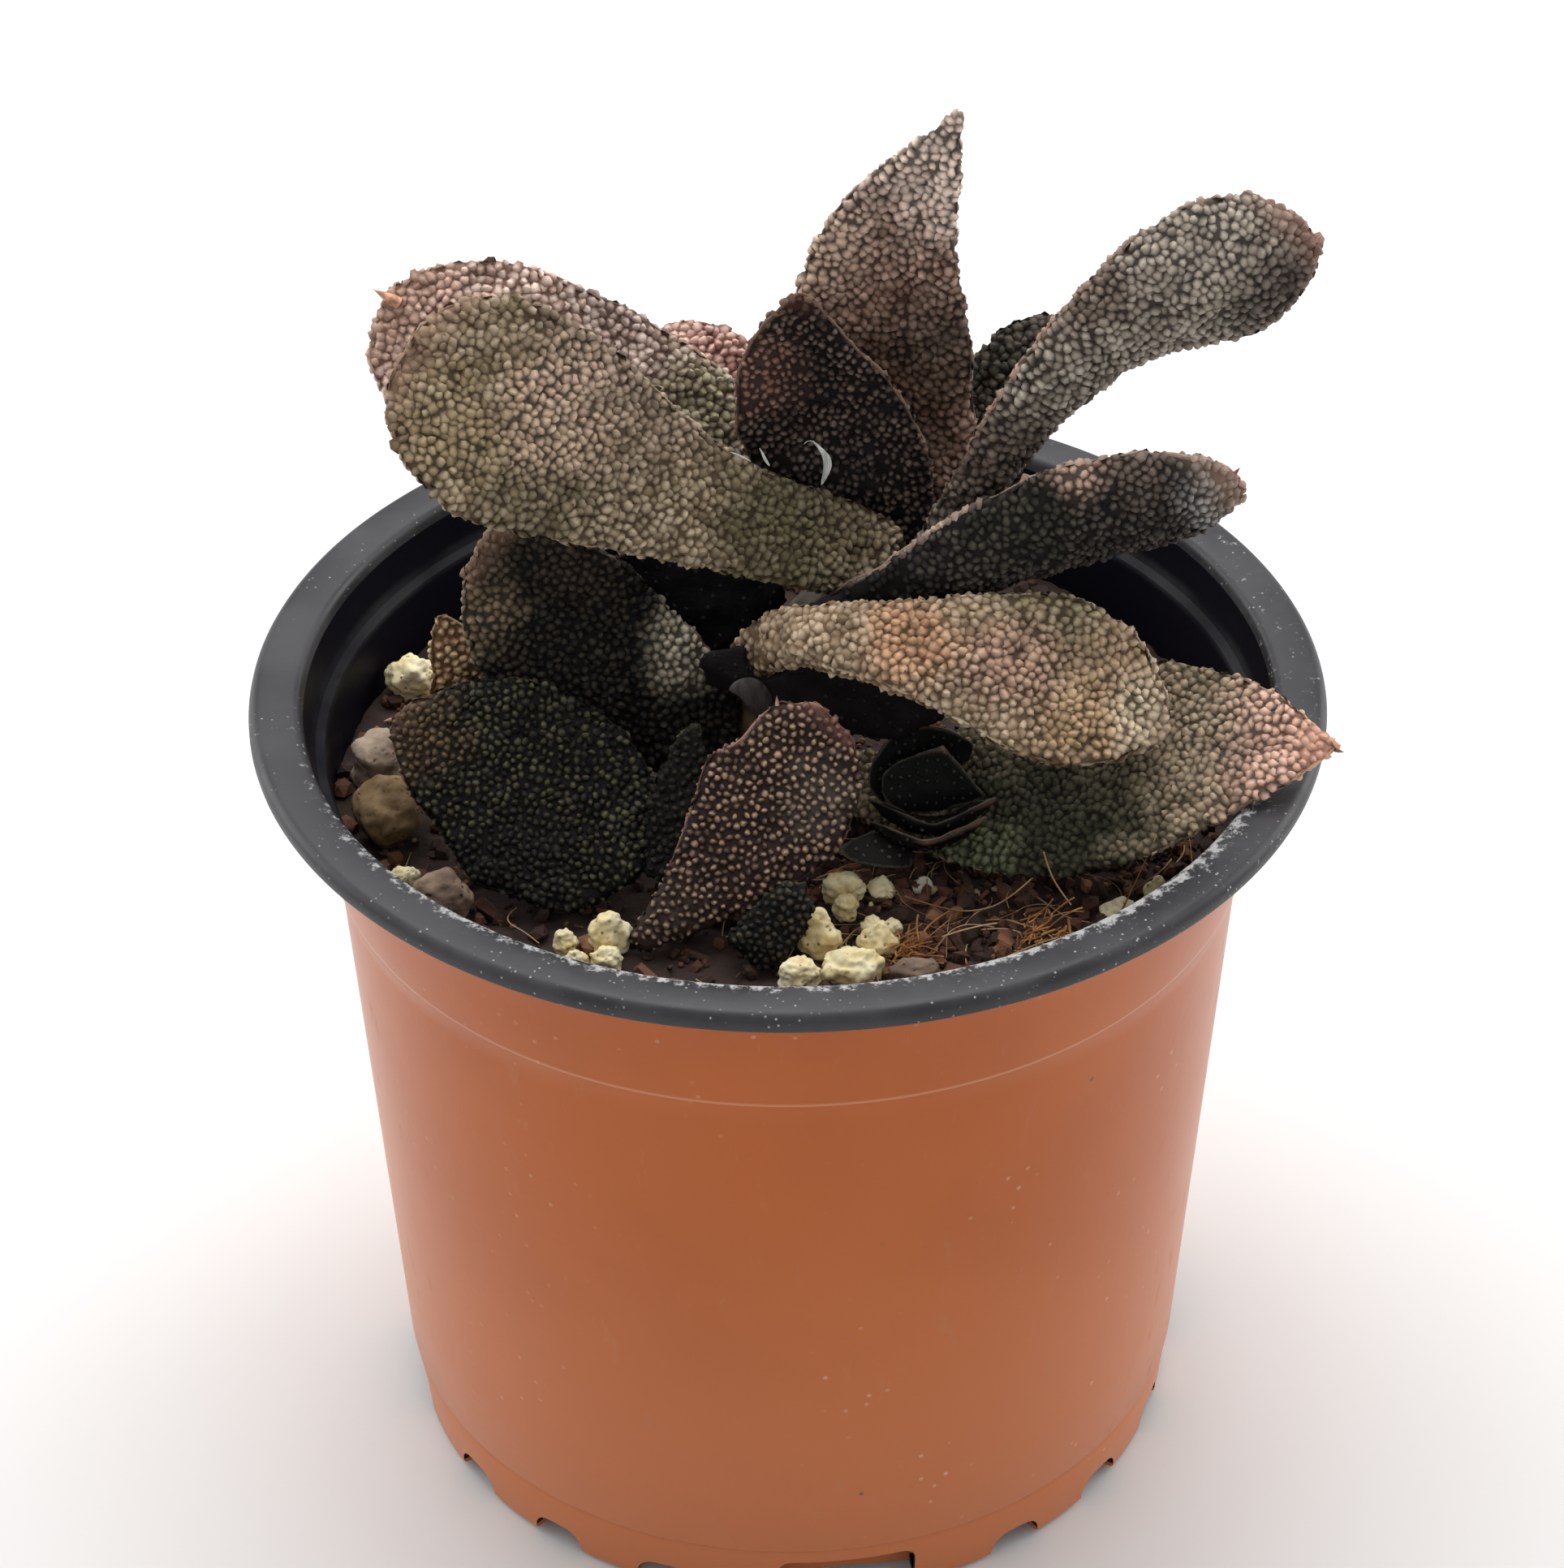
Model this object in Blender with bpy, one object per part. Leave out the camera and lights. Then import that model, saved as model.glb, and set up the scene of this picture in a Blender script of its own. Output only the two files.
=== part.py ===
"""Potted gasteria: a clump of warty succulent leaves growing in a small round nursery pot.

Everything is written in millimetres and scaled to metres as the meshes are made.  +Z is up, the
origin is the middle of the pot's foot, and the pot's front faces -Y.
"""
import bmesh
import bpy
from math import cos, pi, sin, sqrt
from mathutils import Vector

MM = 0.001
GAP = 0.3
CUT_GAP = 0.6

# Pot
POT_HEIGHT = 97.8
LIP_RADIUS = 60.0
LIP_DEPTH = 2.3
MOUTH_RADIUS = 54.4
WALL = 1.0
BODY_RADIUS_LOW = 46.5
BODY_RADIUS_HIGH = 51.3
COLLAR_LOW = 79.0
COLLAR_RADIUS_LOW = 52.1
COLLAR_RADIUS_HIGH = 54.3
FOOT_RADIUS = 45.6
FOOT_HEIGHT = 7.6
FOOT_INNER_RADIUS = 41.2
BASE_RAISE = 5.0
POT_SEGMENTS = 80
NOTCH_PITCH = 18.0
SMALL_NOTCH = (6.8, 3.0)
DRAIN_NOTCH = (16.0, 6.0)
DRAIN_AZIMUTHS = (8.0, 98.0, 188.0, 278.0)

# Growing mix
SOIL_LEVEL = 82.0
SOIL_SEGMENTS = 48

# Leaf section: across runs -1 to 1 between the margins, depth is in leaf thicknesses
LEAF_STATIONS = (0, .1, .2, .31, .42, .53, .64, .74, .83, .9, .955, .985)
MARGIN_ROUND = 0.22
FLANK = 0.55


def smooth_path(points, t):
    """Point at t (0 to 1) on the curve that runs through evenly numbered points."""
    last = len(points) - 1
    s = min(max(t, 0.0), 1.0) * last
    i = min(int(s), last - 1)
    u = s - i
    p1, p2 = points[i], points[i + 1]
    p0 = points[i - 1] if i > 0 else p1 * 2 - p2
    p3 = points[i + 2] if i + 2 <= last else p2 * 2 - p1
    return 0.5 * (p1 * 2 + (p2 - p0) * u + (p0 * 2 - p1 * 5 + p2 * 4 - p3) * u ** 2
                  + (p1 * 3 - p0 - p2 * 3 + p3) * u ** 3)


def clear_scene():
    for obj in list(bpy.data.objects):
        bpy.data.objects.remove(obj, do_unlink=True)


def finish_material(name, colour, roughness, metallic=0.0):
    material = bpy.data.materials.new(name)
    material.use_nodes = True
    shader = material.node_tree.nodes["Principled BSDF"]
    shader.inputs["Base Color"].default_value = (*colour, 1.0)
    shader.inputs["Roughness"].default_value = roughness
    shader.inputs["Metallic"].default_value = metallic
    return material


def add_object(name, bm, material, smooth=True):
    """Turn a bmesh in millimetres into a named object in metres."""
    bmesh.ops.scale(bm, vec=(MM, MM, MM), verts=bm.verts)
    bmesh.ops.recalc_face_normals(bm, faces=bm.faces)
    mesh = bpy.data.meshes.new(name)
    bm.to_mesh(mesh)
    bm.free()
    if smooth:
        mesh.shade_smooth()
        mesh.set_sharp_from_angle(angle=0.7)
    obj = bpy.data.objects.new(name, mesh)
    bpy.context.collection.objects.link(obj)
    if material:
        obj.data.materials.append(material)
    return obj


def apply_cut(obj, cutter):
    """Cut one object with another for good, and keep only its largest body."""
    cut = obj.modifiers.new("cut", 'BOOLEAN')
    cut.object = cutter
    cut.operation = 'DIFFERENCE'
    cut.solver = 'EXACT'
    depsgraph = bpy.context.evaluated_depsgraph_get()
    mesh = bpy.data.meshes.new_from_object(obj.evaluated_get(depsgraph))
    obj.modifiers.clear()
    obj.data = mesh
    bm = bmesh.new()
    bm.from_mesh(mesh)
    keep_largest_body(bm)
    bm.to_mesh(mesh)
    bm.free()


def keep_largest_body(bm):
    left = set(bm.verts)
    bodies = []
    while left:
        front = [left.pop()]
        body = list(front)
        while front:
            vert = front.pop()
            for edge in vert.link_edges:
                other = edge.other_vert(vert)
                if other in left:
                    left.remove(other)
                    front.append(other)
                    body.append(other)
        bodies.append(body)
    bodies.sort(key=len)
    for body in bodies[:-1]:
        bmesh.ops.delete(bm, geom=body, context='VERTS')


def remove_object(obj):
    bpy.data.objects.remove(obj, do_unlink=True)


def turned_solid(profile, segments):
    """Solid of revolution about Z from an outline that starts and ends on the axis."""
    bm = bmesh.new()
    rings = []
    for radius, z in profile:
        if radius == 0:
            rings.append([bm.verts.new((0, 0, z))])
            continue
        ring = []
        for k in range(segments):
            a = 2 * pi * k / segments
            ring.append(bm.verts.new((radius * cos(a), radius * sin(a), z)))
        rings.append(ring)
    for low, high in zip(rings, rings[1:]):
        for k in range(segments):
            n = (k + 1) % segments
            if len(low) == 1:
                bm.faces.new((low[0], high[k], high[n]))
            elif len(high) == 1:
                bm.faces.new((low[n], low[k], high[0]))
            else:
                bm.faces.new((low[k], low[n], high[n], high[k]))
    return bm


# The pot is one thin moulding: a raised base, a foot channel it stands on, a tapered body, a
# slightly wider collar above a fine mould line, and a flat rolled lip.

def pot_outline():
    lip_low = POT_HEIGHT - LIP_DEPTH
    outside = [
        (0, BASE_RAISE), (FOOT_INNER_RADIUS - 1.2, BASE_RAISE), (FOOT_INNER_RADIUS, 0),
        (FOOT_RADIUS, 0), (FOOT_RADIUS + 0.6, FOOT_HEIGHT - 0.6), (FOOT_RADIUS + 0.4, FOOT_HEIGHT),
        (BODY_RADIUS_LOW, FOOT_HEIGHT + 0.6), (BODY_RADIUS_HIGH, COLLAR_LOW - 0.5),
        (COLLAR_RADIUS_LOW, COLLAR_LOW + 0.3), (COLLAR_RADIUS_HIGH, lip_low - 0.3),
        (COLLAR_RADIUS_HIGH + 0.5, lip_low), (LIP_RADIUS - 0.3, lip_low),
        (LIP_RADIUS, lip_low + 0.4), (LIP_RADIUS, POT_HEIGHT - 1.0),
        (LIP_RADIUS - 0.4, POT_HEIGHT - 0.4), (LIP_RADIUS - 1.4, POT_HEIGHT),
        (MOUTH_RADIUS + 1.2, POT_HEIGHT), (MOUTH_RADIUS + 0.3, POT_HEIGHT - 0.4),
        (MOUTH_RADIUS - 0.2, POT_HEIGHT - 1.4),
    ]
    inside = [
        (COLLAR_RADIUS_HIGH - 1.1, lip_low - 3.2), (COLLAR_RADIUS_HIGH - 2.0, lip_low - 4.4),
        (COLLAR_RADIUS_LOW - WALL, COLLAR_LOW + 1.0), (BODY_RADIUS_HIGH - WALL, COLLAR_LOW - 0.7),
        (BODY_RADIUS_LOW - WALL, FOOT_HEIGHT), (FOOT_RADIUS - WALL, WALL),
        (FOOT_INNER_RADIUS + WALL * 0.8, WALL), (FOOT_INNER_RADIUS - 0.3, BASE_RAISE + WALL),
        (0, BASE_RAISE + WALL),
    ]
    return outside + inside


def arch_cutter(bm, width, height, azimuth, inner, outer, corner):
    """One radial tunnel with rounded shoulders, added to a bmesh of tunnels."""
    outline = [(-width / 2, -1.0), (width / 2, -1.0), (width / 2, height - corner)]
    for k in range(1, 4):
        a = pi / 2 * k / 3
        outline.append((width / 2 - corner * (1 - cos(a)), height - corner * (1 - sin(a))))
    for k in range(4):
        a = pi / 2 * (1 - k / 3)
        outline.append((-width / 2 + corner * (1 - cos(a)), height - corner * (1 - sin(a))))
    a = azimuth * pi / 180
    along = Vector((cos(a), sin(a), 0))
    across = Vector((-sin(a), cos(a), 0))
    ends = []
    for radius in (inner, outer):
        ends.append([bm.verts.new(along * radius + across * x + Vector((0, 0, z)))
                     for x, z in outline])
    count = len(outline)
    bm.faces.new(reversed(ends[0]))
    bm.faces.new(ends[1])
    for k in range(count):
        n = (k + 1) % count
        bm.faces.new((ends[0][k], ends[0][n], ends[1][n], ends[1][k]))


def make_pot():
    material = finish_material("terracotta_plastic", (0.45, 0.15, 0.05), 0.42)
    pot = add_object("pot", turned_solid(pot_outline(), POT_SEGMENTS), material)
    bm = bmesh.new()
    for drain in DRAIN_AZIMUTHS:
        arch_cutter(bm, *DRAIN_NOTCH, drain, FOOT_INNER_RADIUS + 1.2, LIP_RADIUS, 1.5)
        for step in (-2.5, -1.5, 1.5):
            azimuth = drain + step * NOTCH_PITCH
            arch_cutter(bm, *SMALL_NOTCH, azimuth, FOOT_INNER_RADIUS - 4, LIP_RADIUS, 2.6)
    cutter = add_object("foot_notches", bm, None)
    apply_cut(pot, cutter)
    remove_object(cutter)
    return pot


# Leaves are thick, with a flat or hollow upper face, a keeled back and blunt margins.  Each one
# runs along a curve through a few points, from its base on the stem to its tip.

class Leaf:
    """Shape of one leaf: path, half widths and thicknesses are spread evenly from base to tip."""

    def __init__(self, name, path, half_widths, thickness, faces, colour, hollow=0.1, keel=0.0,
                 cupped=0.0, tip=10, mucro=0.8):
        self.name = name
        self.path = [Vector(p) for p in path]
        self.half_widths = half_widths
        self.thickness = thickness
        self.faces = [Vector(f) for f in faces]
        self.colour = colour
        self.hollow = hollow
        self.keel = keel
        self.cupped = cupped
        self.tip = tip
        self.mucro = mucro

    def section(self):
        side = FLANK + 0.2 * self.keel
        other = FLANK - 0.2 * self.keel
        return [
            (-1, 0.02), (-FLANK, 0.18 - 0.4 * self.hollow), (0, 0.22 - self.hollow),
            (FLANK, 0.18 - 0.4 * self.hollow), (1, 0.02), (0.93, -MARGIN_ROUND),
            (side, -0.55), (self.keel, -0.75), (-other, -0.55), (-0.93, -MARGIN_ROUND),
        ]

    def centre(self, t):
        return smooth_path(self.path, t)

    def tangent(self, t):
        return (self.centre(min(t + 0.02, 1.0)) - self.centre(max(t - 0.02, 0.0))).normalized()

    def frame(self, t):
        along = self.tangent(t)
        upper = self.faces[0].lerp(self.faces[1], t)
        upper = (upper - along * upper.dot(along)).normalized()
        return along, upper, along.cross(upper)

    def ring(self, t, grow):
        centre = self.centre(t)
        along, upper, across = self.frame(t)
        half = smooth_path(self.half_widths, t) * sqrt(1 - t ** self.tip) + grow
        thick = smooth_path(self.thickness, t) * sqrt(1 - t ** 10)
        points = []
        for k, (u, v) in enumerate(self.section()):
            rise = v * thick + (grow if k < 5 else -grow) + self.cupped * half * u * u
            points.append(centre + across * (u * half) + upper * rise)
        return points

    def core(self, t):
        """Point well inside the flesh, below the hollow of the upper face."""
        return self.centre(t) - self.frame(t)[1] * 0.3 * smooth_path(self.thickness, t) * (1 - t)

    def mesh(self, grow=0.0):
        bm = bmesh.new()
        rings = [[bm.verts.new(p) for p in self.ring(t, grow)] for t in LEAF_STATIONS]
        base = bm.verts.new(self.core(0) - self.tangent(0) * (0.2 + grow))
        point = bm.verts.new(self.core(1) + self.tangent(1) * (self.mucro + grow))
        count = len(rings[0])
        for low, high in zip(rings, rings[1:]):
            for k in range(count):
                n = (k + 1) % count
                bm.faces.new((low[k], low[n], high[n], high[k]))
        for k in range(count):
            n = (k + 1) % count
            bm.faces.new((base, rings[0][n], rings[0][k]))
            bm.faces.new((point, rings[-1][k], rings[-1][n]))
        return bm

    def make(self):
        material = finish_material(self.name, self.colour, 0.6)
        return add_object(self.name, self.mesh(), material)

    def cutter(self):
        return add_object(self.name + "_cutter", self.mesh(CUT_GAP), None)


OLIVE = (0.16, 0.14, 0.07)
BROWN = (0.14, 0.09, 0.06)
DARK_GREEN = (0.03, 0.045, 0.025)
PLUM = (0.045, 0.03, 0.03)
TAN = (0.3, 0.2, 0.1)
SALMON = (0.32, 0.15, 0.09)
PAPER = (0.6, 0.55, 0.45)


def main_leaves():
    """The big plant, youngest leaf first, which is also the order in which bases are nested."""
    return [
        Leaf("leaf_centre_tall", [(12, 7, 107), (13, 9, 117), (10.3, 10, 128.4), (10.5, 10, 145.1),
                                  (14.6, 10, 155), (18.6, 10, 163.6)],
             (3.5, 8, 10.7, 8.7, 4.4, 1), (3, 4.5, 5, 5, 4, 2),
             [(-.1, -.95, .2), (-.1, -.95, .2)], BROWN, hollow=.3, tip=20),
        Leaf("leaf_centre_left", [(10, 4, 109), (8.7, 4.5, 118), (5, 3.5, 126.5), (1.7, 2, 136.4),
                                  (1.6, 1, 147.1)],
             (4, 8.5, 9.7, 7.8, 2), (3, 4, 4.5, 4, 2),
             [(-.3, -.9, .2), (.1, -.95, .2)], PLUM, hollow=.5, tip=20),
        Leaf("leaf_left_rear", [(6, 6, 108), (-1.5, 10.5, 117.5), (-10, 11.5, 124.3),
                                (-20, 11, 129.8), (-31, 10.5, 134), (-39.5, 10, 135), (-45, 9, 136)],
             (3, 5.5, 7, 8.7, 10.5, 9, 8), (3, 5, 6, 6, 5),
             [(0, -.7, .7), (0, -.85, .5)], SALMON, tip=14),
        Leaf("leaf_back_left", [(5, 9, 105), (1, 17, 112.5), (-4.5, 21, 118.5), (-10.5, 24, 122.5),
                                (-16.5, 28, 124.3)],
             (2.5, 4.5, 6, 7.5, 5), (3, 4, 5, 5, 4),
             [(-.3, -.5, .8), (-.3, -.6, .7)], SALMON, tip=9),
        Leaf("leaf_back_right", [(11, 9, 104), (17, 14, 112), (23, 18, 121), (28.5, 21, 126.2),
                                 (34, 25, 127.5)],
             (2.5, 4, 5.5, 6, 4), (3, 4, 5, 5, 4),
             [(.3, -.5, .8), (.3, -.6, .7)], DARK_GREEN, tip=9),
        Leaf("leaf_right_upper", [(14, 3, 111), (19, -.2, 121), (25, -1, 133.5), (33, -1, 143.2),
                                  (41, -1, 149), (48.5, -1, 151.8), (55.5, -1, 154)],
             (3, 3.6, 4.6, 6.2, 8.3, 8.6, 6), (3, 4.5, 6, 6, 5, 4),
             [(-.6, .7, .3), (-.2, .9, -.3)], BROWN, tip=12),
        Leaf("leaf_left_upper", [(12.2, -.6, 113.4), (4.5, -1.8, 117), (-5.5, -5, 122.6),
                                 (-17, -8, 130.4), (-29.5, -10, 139.3), (-41.8, -10, 142)],
             (4, 5.6, 5.9, 9.1, 13.2, 11.5), (4, 6, 7.5, 6.5, 5, 4),
             [(0, -.72, .7), (0, -.85, .52)], OLIVE, keel=-.6, tip=12),
        Leaf("leaf_right_middle", [(2, -3, 106), (4, -7, 112), (12.5, -7.5, 115.5),
                                   (20, -7.5, 120), (31.5, -7, 125), (41, -7, 126.5),
                                   (49, -6.5, 127)],
             (2, 2.6, 4.2, 6.5, 8, 7, 4), (2.5, 3, 4, 6, 7, 6, 5),
             [(-.1, .9, .25), (-.1, .9, .25)], PLUM, tip=24),
        Leaf("leaf_right_front", [(-5.5, -2, 100.5), (-1, -10, 110.6), (9.5, -16, 113.8),
                                  (20, -17, 112.3), (30.5, -18, 109.5), (41, -19, 103.7)],
             (3, 3, 4.3, 7.1, 10.1, 7), (5, 8, 9, 8, 5, 3),
             [(0, -.7, .7), (.1, -.75, .65)], TAN, keel=-.6),
        Leaf("leaf_left_middle", [(-2, -4, 88), (-7.5, -4, 93), (-14.5, -4, 98), (-23, -3.5, 104.3),
                                  (-27.5, -2.5, 113.3), (-28, -1.5, 122.3)],
             (3.5, 6, 8.5, 11, 10, 5), (4, 5, 6, 7, 5, 3),
             [(0, -.85, .5), (0, -.9, .4)], DARK_GREEN, tip=8),
        Leaf("leaf_right_low", [(3, -3, 87.5), (12, -7.5, 88), (19, -10, 89.8), (27, -13, 93),
                                (38, -16, 98), (49.5, -19, 102.4), (59.5, -20, 102.4)],
             (2.5, 5.5, 9, 12, 12.3, 7.9, 1), (3, 4.5, 5.5, 6, 4.5, 3, 1.5),
             [(0, -.45, .9), (0, -.5, .85)], SALMON, tip=30, mucro=.3),
        Leaf("leaf_base_front", [(-9.5, -5.5, 103), (-3, -8.5, 104.3), (4, -10.5, 103.6),
                                 (11, -12, 102.6), (18, -14, 103.4)],
             (2, 4, 5.4, 5.2, 2.5), (2.5, 3, 3, 2),
             [(0, -.98, .1), (0, -.98, .1)], PLUM, tip=8),
        Leaf("leaf_base_left", [(-1, 3, 97), (-5.5, 4, 102.5), (-11, 5, 107.5), (-18, 5.5, 112.5)],
             (4.5, 7, 7.5, 5), (2.5, 3, 3, 2),
             [(0, -.95, .2), (0, -.95, .2)], PLUM, tip=8),
    ]


def side_leaves():
    """The front offset, the small rosette beside it, and the dried scraps."""
    return [
        Leaf("offset_leaf_right", [(-16.5, -31.5, 85), (-10.3, -29.6, 89.8), (-4.9, -27.2, 94.8),
                                   (-1.1, -24.3, 99.4), (.2, -21.4, 104), (-1.1, -19, 108.2)],
             (1.5, 4.2, 7.5, 9, 8, 3.3), (3, 4, 4.5, 4, 4, 3),
             [(0, -.8, .6), (0, -.8, .6)], BROWN, tip=12),
        Leaf("offset_leaf_inner", [(-13, -26.5, 89.5), (-11.7, -22, 96.3), (-10, -17, 104.3)],
             (3, 4.2, 1.5), (2.5, 3, 2), [(-.3, -.8, .4), (-.3, -.8, .4)], DARK_GREEN),
        Leaf("offset_leaf_left", [(-19, -25, 87.2), (-24, -19.5, 92.2), (-31, -15, 96.5),
                                  (-38.5, -12, 98.5), (-44, -9, 99)],
             (5.5, 11.8, 11, 7.5, 2.5), (3.5, 5, 5, 4, 3),
             [(0, -.75, .65), (0, -.75, .65)], DARK_GREEN, tip=9),
        Leaf("offset_leaf_front", [(-5, -34.2, 85.6), (-1.6, -33.3, 88.7), (1.8, -31, 92.5)],
             (3.3, 3.4, 2.8), (2.5, 3, 2), [(0, -.8, .6), (0, -.8, .6)], DARK_GREEN),
        Leaf("leaf_left_small", [(-36.5, 3, 92), (-37, 4, 98), (-38.8, 5, 103.3)],
             (4, 3.5, 1), (1.5, 2, 1.5), [(0, -.8, .6), (0, -.8, .6)], TAN, tip=20),
        Leaf("pup_leaf_back", [(16, -10, 88.5), (14.2, -8.5, 92.5), (13.2, -8, 97)],
             (4, 6.5, 4.5), (2, 2, 1.5), [(.15, -.8, .6), (.15, -.8, .6)], PLUM,
             cupped=.35, tip=8),
        Leaf("pup_leaf_centre", [(16, -12.8, 89), (16, -12, 92), (17, -10.3, 95.5)],
             (3, 5.9, 1), (2, 2, 1.5), [(0, -.7, .7), (0, -.7, .7)], DARK_GREEN,
             cupped=.3, tip=20),
        Leaf("pup_leaf_front", [(16, -14.2, 88.8), (15.8, -17.8, 90), (15.7, -20.6, 92.6)],
             (4, 7.2, 6.4), (1.6, 1.6, 1.2), [(0, .75, .65), (0, .75, .65)], PLUM, cupped=.5,
             tip=8),
        Leaf("pup_leaf_outer", [(16, -17.6, 88.9), (15.4, -20.6, 90.1), (15, -23, 92.2)],
             (3.5, 6.7, 6.2), (1.3, 1.3, 1), [(0, .75, .65), (0, .75, .65)], PLUM,
             cupped=.45, tip=8),
        Leaf("pup_leaf_low", [(13.5, -19.2, 88.2), (9.8, -20, 89.1), (5.8, -20.4, 89.1)],
             (2, 2.2, 1.2), (1.2, 1.4, 1), [(0, -.6, .8), (0, -.6, .8)], PLUM, tip=8),
        Leaf("dry_scale", [(-3, -9, 98), (-4, -9.6, 101), (-4.6, -10, 104)], (2, 2.4, 1.6),
             (.6, .6, .5), [(0, -.8, .6), (0, -.8, .6)], PAPER, mucro=.2),
        Leaf("dried_scape", [(4, -.5, 123.6), (4.7, -1, 126), (4.3, -1, 128), (2.3, -1, 129.8)],
             (.5, .9, .8, .3), (.5, .5, .4), [(0, -.8, .6), (0, -.8, .6)], PAPER, mucro=.2),
    ]


# The stem leans to the right as it climbs; its foot is planted in the growing mix.

STEM_PATH = [(-3, 0, 74), (-3, 0, 84), (-2, 0, 92), (1, 1, 100), (6, 4, 106), (10, 6, 110)]
STEM_RADII = (3.5, 5, 5, 5, 4.5, 2.5)
OFFSET_STEM_PATH = [(-15, -26, 74), (-15, -27, 79), (-14.5, -26.5, 83)]
OFFSET_STEM_RADII = (2, 2.6, 2.2)


def stem_mesh(path, radii, grow, sides=12, rings=9):
    bm = bmesh.new()
    points = [Vector(p) for p in path]
    loops = []
    for j in range(rings):
        t = j / (rings - 1)
        centre = smooth_path(points, t)
        radius = smooth_path(radii, t) + grow
        loops.append([bm.verts.new((centre.x + radius * cos(2 * pi * k / sides),
                                    centre.y + radius * sin(2 * pi * k / sides), centre.z))
                      for k in range(sides)])
    bottom = bm.verts.new(points[0] - Vector((0, 0, 0.4 * radii[0] + grow)))
    top = bm.verts.new(points[-1] + Vector((0, 0, 0.4 * radii[-1] + grow)))
    for low, high in zip(loops, loops[1:]):
        for k in range(sides):
            n = (k + 1) % sides
            bm.faces.new((low[k], low[n], high[n], high[k]))
    for k in range(sides):
        n = (k + 1) % sides
        bm.faces.new((bottom, loops[0][n], loops[0][k]))
        bm.faces.new((top, loops[-1][k], loops[-1][n]))
    return bm


def make_plant():
    pith = finish_material("stem", (0.3, 0.28, 0.16), 0.7)
    add_object("main_stem", stem_mesh(STEM_PATH, STEM_RADII, 0), pith)
    add_object("offset_stem", stem_mesh(OFFSET_STEM_PATH, OFFSET_STEM_RADII, 0), pith)
    stem_cutter = add_object("stem_cutter", stem_mesh(STEM_PATH, STEM_RADII, CUT_GAP), None)
    cutters = [(None, stem_cutter)]
    for leaf in main_leaves() + side_leaves():
        obj = leaf.make()
        for inner, cutter in cutters:
            if inner is None or boxes_touch(inner, leaf):
                apply_cut(obj, cutter)
        cutters.append((leaf, leaf.cutter()))
    for _, cutter in cutters:
        remove_object(cutter)


def boxes_touch(first, second):
    """Whether the boxes around two leaves come within a gap of each other."""
    spans = []
    for leaf in (first, second):
        points = [p for t in LEAF_STATIONS for p in leaf.ring(t, 0)]
        spans.append([(min(p[i] for p in points), max(p[i] for p in points)) for i in range(3)])
    return all(a[0] < b[1] + 2 and b[0] < a[1] + 2 for a, b in zip(*spans))


# The growing mix fills the pot to about 15 mm below the lip; its top is uneven.

def soil_height(x, y):
    return SOIL_LEVEL + 0.35 * sin(0.31 * x + 0.5) * cos(0.27 * y) + 0.25 * sin(0.6 * x - 0.5 * y)


def soil_mesh():
    body_rise = (BODY_RADIUS_HIGH - BODY_RADIUS_LOW) / (COLLAR_LOW - FOOT_HEIGHT)
    floor = BASE_RAISE + WALL + GAP
    low_radius = BODY_RADIUS_LOW - WALL - GAP - 0.4
    shoulder = COLLAR_LOW - 2.0
    high_radius = low_radius + body_rise * (shoulder - FOOT_HEIGHT) - 0.1
    profile = [(0, floor), (low_radius - 3, floor), (low_radius - 0.6, floor + 3),
               (low_radius, floor + 6), (high_radius, shoulder), (high_radius, SOIL_LEVEL - 0.4),
               (high_radius - 1, SOIL_LEVEL)]
    rings = 7
    profile += [((high_radius - 1) * (1 - k / rings), SOIL_LEVEL) for k in range(1, rings)]
    profile.append((0, SOIL_LEVEL))
    bm = turned_solid(profile, SOIL_SEGMENTS)
    for vert in bm.verts:
        if vert.co.z > SOIL_LEVEL - 0.1:
            vert.co.z = soil_height(vert.co.x, vert.co.y)
    return bm


def make_soil():
    dark = finish_material("growing_mix", (0.06, 0.035, 0.02), 0.95)
    soil = add_object("root_ball", soil_mesh(), dark)
    for path, radii in ((STEM_PATH, STEM_RADII), (OFFSET_STEM_PATH, OFFSET_STEM_RADII)):
        socket = add_object("socket", stem_mesh(path, radii, CUT_GAP), None)
        apply_cut(soil, socket)
        remove_object(socket)


# Loose grit on the mix: pale pumice grains and two kinds of porous lava stone.

PUMICE = (0.75, 0.62, 0.3)
LAVA_GREY = (0.2, 0.15, 0.09)
LAVA_TAN = (0.32, 0.24, 0.1)

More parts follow.
